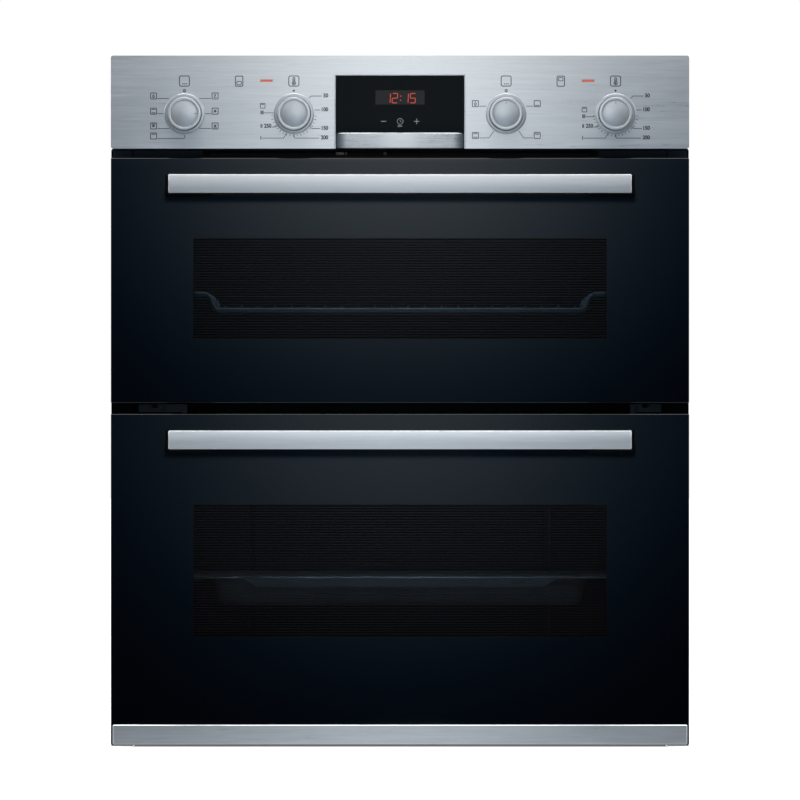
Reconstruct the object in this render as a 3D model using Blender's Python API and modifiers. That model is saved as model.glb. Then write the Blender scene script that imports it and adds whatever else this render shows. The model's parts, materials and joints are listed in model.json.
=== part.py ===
"""A built-under double oven, 594 mm wide: a small top oven over a larger main oven.

Run it with: blender --background --python part.py

Metres, +Z up. The front faces -Y, and X runs across it. The origin is on the underside of the base, in the
middle of its width, at half the depth of the niche. Each drop-down door hangs on two hinge arms, four
retractable dials turn and push in, the wire shelf and the pan slide on their runners, and two fans spin.
"""

import math

import bmesh
import bpy
from mathutils import Matrix, Vector

MM = 0.001
GAP = 0.3 * MM  # what neighbouring pieces keep clear of each other

# The front, from below.
FRONT_WIDTH = 594 * MM
MAIN_DOOR_Z = (3 * MM, 342.5 * MM)
TOP_DOOR_Z = (353.6 * MM, 605.4 * MM)
FASCIA_Z = (615 * MM, 710.5 * MM)
DOOR_TRIM_HEIGHT = 20.2 * MM

# Depths, from the front backwards.
FRONT_Y = -284.5 * MM
CABINET_Y = -263.5 * MM  # the front edges of the kitchen unit
PLATE_Y = -238 * MM  # the sunk face around the two ovens
REAR_Y = 248.5 * MM
DEEPEST_Y = 263.5 * MM

# The body behind the front.
BODY_HALF_WIDTH = 277 * MM
BODY_TOP = 703 * MM
SHEET = 1.2 * MM
FRAME_SHEET = 2 * MM
FLANGE_WIDTH = 22 * MM
POCKET_HALF_WIDTH = FRONT_WIDTH / 2 - FLANGE_WIDTH
AIR_SLOT_HALF_WIDTH = 201 * MM
BASE_PAN_HEIGHT = 12 * MM

# Louvres in the casing's top and in the rear cover.
VENT_SLOT = 4 * MM
TOP_VENTS, TOP_VENT_PITCH = 8, 12 * MM
TOP_VENT_X = (90 * MM, 150 * MM)  # on the right, and mirrored on the left
TOP_VENT_Y = 30 * MM
REAR_VENTS, REAR_VENT_PITCH = 7, 11 * MM

# The box over the mains terminals.
TERMINAL_X = (175 * MM, 245 * MM)
TERMINAL_Z = (560 * MM, 625 * MM)
CABLE_HOLE_RADIUS = 5 * MM
CABLE_HOLE_DEPTH = 35 * MM

# The two ovens.
OVEN_HALF_WIDTH = 233 * MM
OVEN_REAR_Y = 190 * MM
OVEN_WALL = 1.5 * MM
OVEN_CORNER = 14 * MM
MAIN_OVEN_Z = (45 * MM, 316 * MM)
TOP_OVEN_Z = (395 * MM, 575 * MM)
SEAL_RADIUS = 3.5 * MM
SEAL_OFFSET = 8 * MM
HEATER_RADIUS = 3.3 * MM
HEATER_DROP = 18 * MM  # below the oven's roof

# Doors.
GLASS = 4 * MM
HINGE_RISE = 8 * MM  # the hinge axis above the door's lower edge
HINGE_Y = FRONT_Y + 10 * MM
DOOR_LIP_BACK_Y = -271.5 * MM
DOOR_TRAY_BACK_Y = -250.3 * MM
DOOR_TRAY_HALF_WIDTH = 265 * MM
DOOR_WINDOW_HALF_WIDTH = 222 * MM
ARM_X = 252 * MM
ARM_THICKNESS = 4 * MM
PIN_RADIUS = 3 * MM

# Handles.
HANDLE_LENGTH = 476 * MM
HANDLE_HEIGHT = 19.5 * MM
HANDLE_DEPTH = 11 * MM
HANDLE_REACH = 45 * MM
HANDLE_DROP = 26.5 * MM  # its centre below the door's top edge
POST_WIDTH = 49 * MM

# Dials: two for the main oven on the left, two for the top oven on the right.
DIAL_Z = 650.7 * MM
DIALS = {
    "main_function": {"x": -221.4 * MM, "turned": 90},
    "main_temperature": {"x": -109 * MM, "turned": 135},
    "top_function": {"x": 109 * MM, "turned": 0},
    "top_temperature": {"x": 221.4 * MM, "turned": 0},
}
KNOB_RADIUS = 17.6 * MM
KNOB_PROUD = 15.5 * MM
BEZEL_RADIUS = 20.9 * MM
BEZEL_HOLE_RADIUS = 19.7 * MM
SHAFT_RADIUS = 3 * MM
SWITCH_Y = (FRONT_Y + 22.5 * MM, FRONT_Y + 50 * MM)
SWITCH_HALF = {"function": 21 * MM, "temperature": 19 * MM}
ROUND_STEPS = 24

# Display, its trim and the two pilot lights.
DISPLAY_HALF_WIDTH = 65.4 * MM
DISPLAY_Z = (631.6 * MM, 689.4 * MM)
PILOT_Z = 684.8 * MM
PILOTS = {"main": -137.1 * MM, "top": 193.2 * MM}
PILOT_SIZE = (12.2 * MM, 1.6 * MM)
PILOT_GUIDE_RISE = 11.5 * MM  # from the lights up to the bar that joins them

# Shelf, pan and runners.
SHELF_Y = (-197 * MM, 178 * MM)
SHELF_LOW_Z = 449.8 * MM
SHELF_SIDE_Z = 466.2 * MM
SHELF_SIDE_X = 225 * MM
SHELF_FLOOR_X = 192 * MM
SHELF_OUTER_WIRE_X = 181 * MM
SHELF_WIRES = 22
SHELF_BAR = 5.6 * MM
PAN_Y = (-203 * MM, 162 * MM)
PAN_Z = (144 * MM, 171.7 * MM)
PAN_RIM_X = 222 * MM
PAN_FLOOR_X = 186 * MM
RACK_LEVELS = [z * MM for z in (84, 126, 168, 210, 252)]

# Fans.
FAN_CENTRE = Vector((0, 178 * MM, 181 * MM))
FAN_RADIUS = 60 * MM
FAN_BLADES = 8
BLOWER_CENTRE = Vector((0, -115 * MM, 642 * MM))
BLOWER_RADIUS = 26 * MM
BLOWER_HALF_LENGTH = 100 * MM
BLOWER_BLADES = 16

# The main oven's lamp.
LAMP_X, LAMP_Z = -188 * MM, 274 * MM
LAMP_RADIUS = 23 * MM

COLOURS = {
    "brushed_steel": ((0.55, 0.58, 0.60), 0.32, 1.0),
    "galvanised_steel": ((0.50, 0.52, 0.53), 0.45, 1.0),
    "chromed_wire": ((0.72, 0.73, 0.75), 0.15, 1.0),
    "black_glass": ((0.012, 0.014, 0.018), 0.05, 0.0),
    "clear_glass": ((0.25, 0.27, 0.28), 0.05, 0.0),
    "black_enamel": ((0.015, 0.016, 0.018), 0.25, 0.0),
    "black_plastic": ((0.018, 0.018, 0.020), 0.45, 0.0),
    "silver_plastic": ((0.45, 0.48, 0.50), 0.30, 0.6),
    "grey_enamel": ((0.05, 0.055, 0.06), 0.30, 0.0),
    "orange_lens": ((0.85, 0.18, 0.05), 0.25, 0.0),
    "seal_rubber": ((0.06, 0.06, 0.06), 0.70, 0.0),
    "heater_sheath": ((0.14, 0.13, 0.12), 0.50, 0.8),
    "switch_plastic": ((0.72, 0.70, 0.64), 0.50, 0.0),
}


def clear_scene():
    for obj in list(bpy.data.objects):
        bpy.data.objects.remove(obj, do_unlink=True)


def new_collection(name):
    made = bpy.data.collections.new(name)
    bpy.context.scene.collection.children.link(made)
    return made


def new_material(name):
    colour, roughness, metallic = COLOURS[name]
    made = bpy.data.materials.new(name)
    made.use_nodes = True
    shader = made.node_tree.nodes["Principled BSDF"]
    shader.inputs["Base Color"].default_value = (*colour, 1)
    shader.inputs["Roughness"].default_value = roughness
    shader.inputs["Metallic"].default_value = metallic
    return made


clear_scene()
OVEN = new_collection("double_oven")
CUTTERS = new_collection("cutters")
MATERIALS = {name: new_material(name) for name in COLOURS}


def place(name, data, location=(0, 0, 0), material=None):
    """A new object of the oven, at location."""
    obj = bpy.data.objects.new(name, data)
    obj.location = location
    if material:
        data.materials.append(MATERIALS[material])
    OVEN.objects.link(obj)
    return obj


def pivot(name, location):
    """An empty on a joint's axis."""
    made = place(name, None, location)
    made.empty_display_size = 0.02
    return made


def hang(parent, *pieces):
    """Parents the pieces to an object, and leaves them where they are."""
    bpy.context.view_layer.update()
    for piece in pieces:
        piece.parent = parent
        piece.matrix_parent_inverse = parent.matrix_world.inverted()


def box(name, x, y, z, material=None):
    """A box over three (low, high) ranges, with its origin at its centre."""
    shape = bmesh.new()
    bmesh.ops.create_cube(shape, size=1)
    sides = [span[1] - span[0] for span in (x, y, z)]
    bmesh.ops.scale(shape, vec=sides, verts=shape.verts)
    mesh = bpy.data.meshes.new(name)
    shape.to_mesh(mesh)
    shape.free()
    return place(name, mesh, [sum(span) / 2 for span in (x, y, z)], material)


def cylinder(name, radius, start, end, material=None, sides=ROUND_STEPS):
    """A cylinder from one point to another, with its origin at its middle."""
    start, end = Vector(start), Vector(end)
    along = end - start
    shape = bmesh.new()
    bmesh.ops.create_cone(
        shape, cap_ends=True, segments=sides, radius1=radius, radius2=radius, depth=along.length
    )
    mesh = bpy.data.meshes.new(name)
    shape.to_mesh(mesh)
    shape.free()
    made = place(name, mesh, (start + end) / 2, material)
    made.rotation_mode = "QUATERNION"
    made.rotation_quaternion = along.to_track_quat("Z", "Y")
    return made


def turned(name, profile, centre, material=None, steps=ROUND_STEPS, closed=False):
    """A profile of (radius, height) turned about an axis that runs to the front, -Y, through centre."""
    shape = bmesh.new()
    corners = [shape.verts.new((radius, 0, height)) for radius, height in profile]
    for first, second in zip(corners, corners[1:] + corners[:1] if closed else corners[1:]):
        shape.edges.new((first, second))
    mesh = bpy.data.meshes.new(name)
    shape.to_mesh(mesh)
    shape.free()
    made = place(name, mesh, centre, material)
    made.rotation_euler = (math.radians(90), 0, 0)
    screw = made.modifiers.new("turn", "SCREW")
    screw.steps = screw.render_steps = steps
    screw.use_merge_vertices = True
    screw.merge_threshold = 1e-6
    return made


def tube(name, points, radius, material=None, cyclic=False):
    """A round tube along points."""
    curve = bpy.data.curves.new(name, "CURVE")
    curve.dimensions = "3D"
    curve.bevel_depth = radius
    curve.bevel_resolution = 2
    curve.use_fill_caps = True
    spline = curve.splines.new("POLY")
    spline.points.add(len(points) - 1)
    for point, place_of in zip(spline.points, points):
        point.co = (*place_of, 1)
    spline.use_cyclic_u = cyclic
    return place(name, curve, material=material)


def outline(name, points, thickness, centre, material=None):
    """A flat outline of (y, z) points, extruded along X about centre."""
    curve = bpy.data.curves.new(name, "CURVE")
    curve.dimensions = "2D"
    curve.fill_mode = "BOTH"
    curve.extrude = thickness / 2
    spline = curve.splines.new("POLY")
    spline.points.add(len(points) - 1)
    for point, (y, z) in zip(spline.points, points):
        point.co = (y, z, 0, 1)
    spline.use_cyclic_u = True
    made = place(name, curve, centre, material)
    made.rotation_euler = (math.radians(90), 0, math.radians(90))
    return as_mesh(made)


def as_mesh(obj):
    """A curve object made a closed mesh, which a Boolean can take."""
    bpy.context.view_layer.update()
    graph = bpy.context.evaluated_depsgraph_get()
    mesh = bpy.data.meshes.new_from_object(obj.evaluated_get(graph))
    shape = bmesh.new()
    shape.from_mesh(mesh)
    bmesh.ops.remove_doubles(shape, verts=shape.verts, dist=1e-6)
    bmesh.ops.recalc_face_normals(shape, faces=shape.faces)
    shape.to_mesh(mesh)
    shape.free()
    name, matrix = obj.name, obj.matrix_world.copy()
    bpy.data.objects.remove(obj)
    made = place(name, mesh)
    made.matrix_world = matrix
    return made


def round_edges(obj, along, radius, segments=3):
    """Rounds a box's edges that run along one axis, 0 to 2."""
    shape = bmesh.new()
    shape.from_mesh(obj.data)
    edges = [
        edge for edge in shape.edges
        if abs((edge.verts[0].co - edge.verts[1].co).normalized()[along]) > 0.99
    ]
    bmesh.ops.bevel(
        shape, geom=edges, offset=radius, segments=segments, profile=0.5, affect="EDGES"
    )
    shape.to_mesh(obj.data)
    shape.free()
    return obj


def soften(obj, width, segments=2):
    """A small Bevel on every sharp edge."""
    bevel = obj.modifiers.new("edges", "BEVEL")
    bevel.width = width
    bevel.segments = segments
    bevel.limit_method = "ANGLE"
    return obj


def helper(obj):
    """Takes a cutter or a joined shape out of the render."""
    OVEN.objects.unlink(obj)
    CUTTERS.objects.link(obj)
    obj.hide_render = True
    obj.display_type = "WIRE"
    return obj


def combine(obj, operation, others):
    """Cuts the others from obj, or joins them to it."""
    for other in others:
        modifier = obj.modifiers.new(other.name, "BOOLEAN")
        modifier.operation = operation
        modifier.solver = "EXACT"
        modifier.object = helper(other)
    return obj


def cut(obj, *cutters):
    return combine(obj, "DIFFERENCE", cutters)


def join(obj, *others):
    return combine(obj, "UNION", others)


def join_many(obj, others):
    """Joins many shapes to obj with one Boolean."""
    group = bpy.data.collections.new(obj.name + "_joined")
    CUTTERS.children.link(group)
    group.hide_render = True
    for other in others:
        helper(other)
        CUTTERS.objects.unlink(other)
        group.objects.link(other)
    modifier = obj.modifiers.new("joined", "BOOLEAN")
    modifier.operation = "UNION"
    modifier.solver = "EXACT"
    modifier.operand_type = "COLLECTION"
    modifier.collection = group
    return obj


def repeat(obj, count, offset):
    """Repeats a cutter by an offset in metres."""
    array = obj.modifiers.new("repeat", "ARRAY")
    array.count = count
    array.use_relative_offset = False
    array.use_constant_offset = True
    array.constant_offset_displace = offset
    return obj


def open_shell(name, x, y, z, wall, corner, material):
    """A box open at the front, -Y, with rounded edges and its wall outside the given ranges."""
    made = box(name, x, y, z, material)
    shape = bmesh.new()
    shape.from_mesh(made.data)
    shape.faces.ensure_lookup_table()
    front = min(shape.faces, key=lambda face: face.calc_center_median().y)
    bmesh.ops.delete(shape, geom=[front], context="FACES")
    shape.to_mesh(made.data)
    shape.free()
    soften(made, corner, 3)
    solidify = made.modifiers.new("wall", "SOLIDIFY")
    solidify.thickness = wall
    solidify.offset = 1
    solidify.use_even_offset = True
    return made


def about(middle, half):
    """The (low, high) range of a given half width about its middle."""
    return (middle - half, middle + half)


def mirrored(span, sign):
    """A (low, high) range on the right, or its mirror image on the left."""
    return span if sign > 0 else (-span[1], -span[0])


# ------------------------------------------------------------------ body

def build_base_pan():
    half = BODY_HALF_WIDTH - 3 * MM
    front, back = PLATE_Y + 2.5 * MM, REAR_Y - 2.5 * MM
    pan = box("base_pan", (-half, half), (front, back), (0, BASE_PAN_HEIGHT), "galvanised_steel")
    hollow = box(
        "base_hollow", (-half + SHEET, half - SHEET), (front + SHEET, back - SHEET),
        (SHEET, 2 * BASE_PAN_HEIGHT),
    )
    return cut(pan, hollow)


def build_outer_casing():
    """One folded sheet: both sides and the top."""
    half = BODY_HALF_WIDTH
    y = (PLATE_Y + 2.5 * MM, REAR_Y - 1.8 * MM)
    casing = box("outer_casing", (-half, half), y, (2 * MM, BODY_TOP), "galvanised_steel")
    inside = box(
        "casing_inside", (-half + SHEET, half - SHEET), (y[0] - 1 * MM, y[1] + 1 * MM),
        (-5 * MM, BODY_TOP - SHEET),
    )
    cutters = [inside]
    for side, sign in (("left", -1), ("right", 1)):
        slot = box(
            f"casing_vents_{side}", mirrored(TOP_VENT_X, sign), (TOP_VENT_Y, TOP_VENT_Y + VENT_SLOT),
            about(BODY_TOP, 10 * MM),
        )
        cutters.append(repeat(slot, TOP_VENTS, (0, TOP_VENT_PITCH, 0)))
    return cut(casing, *cutters)


def build_rear_cover():
    half = BODY_HALF_WIDTH - 1 * MM
    cover = box(
        "rear_cover", (-half, half), (REAR_Y - 1.5 * MM, REAR_Y), (3 * MM, BODY_TOP - 1 * MM),
        "galvanised_steel",
    )
    through = (REAR_Y - 5 * MM, REAR_Y + 5 * MM)
    cutters = []
    for name, x, low in (
        ("rear_vents_low", (-70 * MM, 70 * MM), 60 * MM),
        ("rear_vents_high", (-210 * MM, -110 * MM), 600 * MM),
    ):
        slot = box(name, x, through, (low, low + VENT_SLOT))
        cutters.append(repeat(slot, REAR_VENTS, (0, 0, REAR_VENT_PITCH)))
    return cut(cover, *cutters)


def build_terminal_cover():
    """The box over the mains terminals, with a hole below for the supply cable."""
    cover = box("terminal_cover", TERMINAL_X, (REAR_Y + GAP, DEEPEST_Y), TERMINAL_Z, "black_plastic")
    soften(cover, 2 * MM)
    start = Vector((sum(TERMINAL_X) / 2, (REAR_Y + DEEPEST_Y) / 2, TERMINAL_Z[0] - 5 * MM))
    end = Vector((start.x, start.y, TERMINAL_Z[0] + CABLE_HOLE_DEPTH))
    return cut(cover, cylinder("cable_hole", CABLE_HOLE_RADIUS, start, end))


def oven_opening(name, z):
    half = OVEN_HALF_WIDTH - 1 * MM
    hole = box(name, (-half, half), (PLATE_Y - 5 * MM, PLATE_Y + 10 * MM), (z[0] + 1 * MM, z[1] - 1 * MM))
    return round_edges(hole, 1, OVEN_CORNER, 4)


def build_hood(half, back, z):
    """The folded sheet over the switches, open to the front and the rear."""
    hood = box("switch_hood", (-half, half), (CABINET_Y + GAP, back), z)
    inside = box(
        "hood_inside", (-half + SHEET, half - SHEET), (CABINET_Y - 5 * MM, back + 5 * MM),
        (z[0] - 5 * MM, z[1] - SHEET),
    )
    return cut(hood, inside)


def build_front_frame():
    """The enamelled face: a sunk plate with both oven openings, side flanges over the kitchen unit, the
    crossbar with the cooling air outlet above the top door, and the hood over the switches."""
    half, pocket = FRONT_WIDTH / 2, POCKET_HALF_WIDTH
    front, back = CABINET_Y - FRAME_SHEET, PLATE_Y + FRAME_SHEET
    z = (1 * MM, FASCIA_Z[0] - 1 * MM)
    frame = box("front_frame", (-half, half), (front, back), z, "black_enamel")
    slot = (-AIR_SLOT_HALF_WIDTH, AIR_SLOT_HALF_WIDTH)
    over = 5 * MM
    cutters = [
        box("frame_pocket", (-pocket, pocket), (front - over, PLATE_Y), (-over, z[1] - 18 * MM)),
        box("bar_hollow", (-pocket, pocket), (front + FRAME_SHEET, PLATE_Y), about(z[1] - 9 * MM, 7 * MM)),
        box("air_outlet", slot, (front - over, PLATE_Y - over), (z[1] - 6 * MM, z[1] - 0.8 * MM)),
        box("air_inlet", about(0, 105 * MM), (PLATE_Y - over, back + over), about(z[1] - 8 * MM, 4 * MM)),
        oven_opening("main_opening", MAIN_OVEN_Z),
        oven_opening("top_opening", TOP_OVEN_Z),
    ]
    for side, sign in (("left", -1), ("right", 1)):
        outside = mirrored((pocket + 1.8 * MM, half + over), sign)
        cutters.append(box(f"frame_{side}_return", outside, (CABINET_Y, back + over), (-over, z[1] + over)))
    cut(frame, *cutters)
    # A lip behind the panel's lower edge closes the joint between them.
    lip_y = (CABINET_Y + GAP, CABINET_Y + GAP + SHEET)
    lip = box("frame_lip", about(0, pocket + 0.5 * MM), lip_y, (z[1] - 0.5 * MM, FASCIA_Z[0] + 8 * MM))
    return join(frame, build_hood(pocket + 1.5 * MM, back, (z[1] - 4 * MM, BODY_TOP - 1 * MM)), lip)


# ------------------------------------------------------------------ control panel

def build_control_fascia():
    half, returns = FRONT_WIDTH / 2, 21 * MM
    fascia = box("control_fascia", (-half, half), (FRONT_Y, FRONT_Y + returns), FASCIA_Z, "brushed_steel")
    round_edges(fascia, 1, 2 * MM, 2)
    hollow = box(
        "fascia_hollow", (-half + SHEET, half - SHEET), (FRONT_Y + SHEET, FRONT_Y + 2 * returns),
        (FASCIA_Z[0] + SHEET, FASCIA_Z[1] - SHEET),
    )
    window = box(
        "fascia_window", (-DISPLAY_HALF_WIDTH - 1 * MM, DISPLAY_HALF_WIDTH + 1 * MM),
        (FRONT_Y - 5 * MM, FRONT_Y + 2 * returns), (FASCIA_Z[0] - 5 * MM, DISPLAY_Z[1] + 1 * MM),
    )
    through = (FRONT_Y - 5 * MM, FRONT_Y + 5 * MM)
    cutters = [hollow, window]
    for name, dial in DIALS.items():
        centre = Vector((dial["x"], 0, DIAL_Z))
        start, end = (centre + Vector((0, y, 0)) for y in through)
        cutters.append(cylinder(f"{name}_hole", BEZEL_HOLE_RADIUS, start, end))
    for name, x in PILOTS.items():
        wide, high = (side / 2 + GAP for side in PILOT_SIZE)
        cutters.append(box(f"{name}_pilot_hole", about(x, wide), through, about(PILOT_Z, high)))
    return cut(fascia, *cutters)


def build_display():
    x, back = about(0, DISPLAY_HALF_WIDTH), FRONT_Y + 3.5 * MM
    box("display_window", x, (FRONT_Y + 0.6 * MM, back), DISPLAY_Z, "black_glass")
    trim_z = (FASCIA_Z[0] + 0.2 * MM, DISPLAY_Z[0] - GAP)
    trim = box("display_trim", x, (FRONT_Y - 0.6 * MM, back), trim_z, "brushed_steel")
    soften(trim, 1.2 * MM, 1)
    timer = box(
        "timer_module", (-58 * MM, 58 * MM), (FRONT_Y + 3.8 * MM, FRONT_Y + 30 * MM),
        (DISPLAY_Z[0] + 3 * MM, DISPLAY_Z[1] - 3 * MM), "switch_plastic",
    )
    soften(timer, 2 * MM, 1)


def build_pilots():
    """The light guide of the two heating lights: a lens each, on one bar that runs over the timer."""
    wide, high = (side / 2 for side in PILOT_SIZE)
    bar_y = about(FRONT_Y + 15.5 * MM, 1.5 * MM)
    bar_z = about(PILOT_Z + PILOT_GUIDE_RISE, 2 * MM)
    bar_x = (PILOTS["main"] - 3 * MM, PILOTS["top"] + 3 * MM)
    guide = box("pilot_light_guide", bar_x, bar_y, bar_z, "orange_lens")
    lens_y = (FRONT_Y - 0.4 * MM, bar_y[1] - 0.4 * MM)
    stem_y = about(bar_y[0] + 1.5 * MM, 1.2 * MM)
    stem_z = (PILOT_Z - 0.4 * MM, bar_z[1] - 0.4 * MM)
    lenses = []
    for name, x in PILOTS.items():
        lens = box(f"{name}_lens", about(x, wide), lens_y, about(PILOT_Z, high))
        lenses.append(soften(lens, 0.3 * MM, 1))
        lenses.append(box(f"{name}_stem", about(x, 2.5 * MM), stem_y, stem_z))
    join_many(guide, lenses)


def build_bezel(name, centre):
    sleeve, bore, depth = BEZEL_HOLE_RADIUS - GAP, KNOB_RADIUS + 0.6 * MM, -6 * MM
    profile = [
        (bore + 0.3 * MM, 3 * MM),
        (bore + 0.9 * MM, 3 * MM),
        (BEZEL_RADIUS - 0.3 * MM, 1.2 * MM),
        (BEZEL_RADIUS, GAP),
        (sleeve, GAP),
        (sleeve, depth),
        (bore, depth),
        (bore, 2.7 * MM),
    ]
    return turned(f"{name}_bezel", profile, centre, "silver_plastic", closed=True)


def build_knob(name, centre):
    """A hollow cap with a hub that slides on the shaft, and a pointer cut in its face."""
    radius, proud, inner = KNOB_RADIUS, KNOB_PROUD, KNOB_RADIUS - 1.4 * MM
    hub, bore, hub_end, bore_end = 6.5 * MM, SHAFT_RADIUS + 0.4 * MM, -8 * MM, 12.7 * MM
    profile = [
        (0, proud - 0.6 * MM),
        (13.7 * MM, proud - 0.6 * MM),
        (14.4 * MM, proud),
        (15.2 * MM, proud),
        (radius - 0.3 * MM, proud - 2.6 * MM),
        (radius, proud - 3.6 * MM),
        (radius, -1 * MM),
        (inner, -1 * MM),
        (inner, 11.5 * MM),
        (hub, 11.5 * MM),
        (hub, hub_end),
        (bore, hub_end),
        (bore, bore_end),
        (0, bore_end),
    ]
    knob = turned(f"{name}_knob", profile, centre, "silver_plastic")
    pointer = box(
        f"{name}_pointer", (-0.5 * MM, 0.5 * MM), (-proud, -proud + 1.1 * MM), (9.3 * MM, 13.3 * MM)
    )
    pointer.location = Vector(centre) + pointer.location
    return cut(knob, pointer), pointer


def build_dials():
    """A dial is a bezel on the panel, a switch behind it, the switch's shaft and the knob on the shaft."""
    for name, dial in DIALS.items():
        centre = Vector((dial["x"], FRONT_Y, DIAL_Z))
        build_bezel(name, centre)
        job = name.split("_")[1]
        half = SWITCH_HALF[job]
        switch = box(
            f"{name}_switch" if job == "function" else f"{name}_thermostat",
            about(centre.x, half), SWITCH_Y, about(centre.z, half), "switch_plastic",
        )
        soften(switch, 2 * MM, 1)
        bore_end = Vector((centre.x, SWITCH_Y[0] + 15 * MM, centre.z))
        bore_start = Vector((centre.x, SWITCH_Y[0] - 5 * MM, centre.z))
        cut(switch, cylinder(f"{name}_bore", SHAFT_RADIUS + GAP, bore_start, bore_end, sides=16))
        shaft_end = bore_end - Vector((0, 1 * MM, 0))
        shaft = cylinder(f"{name}_shaft", SHAFT_RADIUS, centre, shaft_end, "galvanised_steel", sides=16)
        axis = pivot(f"{name}_axis", centre)
        hang(axis, shaft, *build_knob(name, centre))
        # Turned clockwise, as the user sees it, to the setting that the dial stands at.
        axis.rotation_euler = (0, math.radians(dial["turned"]), 0)


# ------------------------------------------------------------------ ovens

def build_ovens():
    front = PLATE_Y + FRAME_SHEET + GAP
    x, y = about(0, OVEN_HALF_WIDTH), (front, OVEN_REAR_Y)
    main = open_shell("main_cavity", x, y, MAIN_OVEN_Z, OVEN_WALL, OVEN_CORNER, "grey_enamel")
    shaft_hole = cylinder(
        "fan_shaft_hole", 7 * MM, (FAN_CENTRE.x, OVEN_REAR_Y - 9 * MM, FAN_CENTRE.z),
        (FAN_CENTRE.x, OVEN_REAR_Y + 9 * MM, FAN_CENTRE.z), sides=16,
    )
    cut(main, shaft_hole)
    top = open_shell("top_cavity", x, y, TOP_OVEN_Z, OVEN_WALL, OVEN_CORNER, "grey_enamel")
    # Pressed runners on both walls carry the shelf.
    ridges = []
    for side, sign in (("left", -1), ("right", 1)):
        for level in (SHELF_SIDE_Z - 10 * MM, SHELF_SIDE_Z + 28 * MM):
            ridge = box(
                f"{side}_runner_{round(level / MM)}",
                mirrored((OVEN_HALF_WIDTH - 13 * MM, OVEN_HALF_WIDTH + 0.8 * MM), sign),
                (front + 12 * MM, OVEN_REAR_Y - 15 * MM), (level - 3 * MM, level + 3.7 * MM),
            )
            ridges.append(ridge)
    join(top, *ridges)


def rounded_loop(half_width, z, corner, y, steps=4):
    """Points around a rectangle with round corners, in the plane of the front."""
    points = []
    centres = (
        (half_width - corner, z[1] - corner, 0),
        (-half_width + corner, z[1] - corner, 90),
        (-half_width + corner, z[0] + corner, 180),
        (half_width - corner, z[0] + corner, 270),
    )
    for x, height, start in centres:
        for step in range(steps + 1):
            angle = math.radians(start + 90 * step / steps)
            points.append((x + corner * math.cos(angle), y, height + corner * math.sin(angle)))
    return points


def build_seals():
    for name, z in (("main_door_seal", MAIN_OVEN_Z), ("top_door_seal", TOP_OVEN_Z)):
        span = (z[0] - SEAL_OFFSET, z[1] + SEAL_OFFSET)
        loop = rounded_loop(
            OVEN_HALF_WIDTH + SEAL_OFFSET, span, 20 * MM, PLATE_Y - SEAL_RADIUS - GAP
        )
        tube(name, loop, SEAL_RADIUS, "seal_rubber", cyclic=True)


def heater_points(z):
    """A heating element's run under the roof: two legs from the rear wall and four hairpins."""
    back, front, pitch, turn = OVEN_REAR_Y - 40 * MM, -190 * MM, 42 * MM, 14 * MM
    points = [(-0.5 * pitch, OVEN_REAR_Y - 1 * MM, z), (-0.5 * pitch, back + 8 * MM, z)]
    legs = [x * pitch for x in (-3.5, -2.5, -1.5, -0.5, 0.5, 1.5, 2.5, 3.5)]
    points.append((legs[0] + turn, back, z))
    for number, x in enumerate(legs):
        ends = (back - turn, front + turn) if number % 2 == 0 else (front + turn, back - turn)
        points += [(x, ends[0], z), (x, ends[1], z)]
        if number < len(legs) - 1:
            turn_y = front if number % 2 == 0 else back - 10 * MM
            points += [(x + turn, turn_y, z), (legs[number + 1] - turn, turn_y, z)]
    points.append((legs[-1] - turn, back, z))
    points += [(0.5 * pitch, back + 8 * MM, z), (0.5 * pitch, OVEN_REAR_Y - 1 * MM, z)]
    return points


def build_heaters():
    for name, z in (("main_grill_element", MAIN_OVEN_Z), ("top_grill_element", TOP_OVEN_Z)):
        tube(name, heater_points(z[1] - HEATER_DROP), HEATER_RADIUS, "heater_sheath")


def build_lamp():
    """The screw-in glass over the main oven's lamp, on the rear wall."""
    profile = [
        (0, 11 * MM), (12 * MM, 10 * MM), (19 * MM, 6 * MM), (LAMP_RADIUS, 3 * MM), (LAMP_RADIUS, GAP),
        (0, GAP),
    ]
    turned("main_lamp_lens", profile, (LAMP_X, OVEN_REAR_Y, LAMP_Z), "clear_glass")


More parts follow.
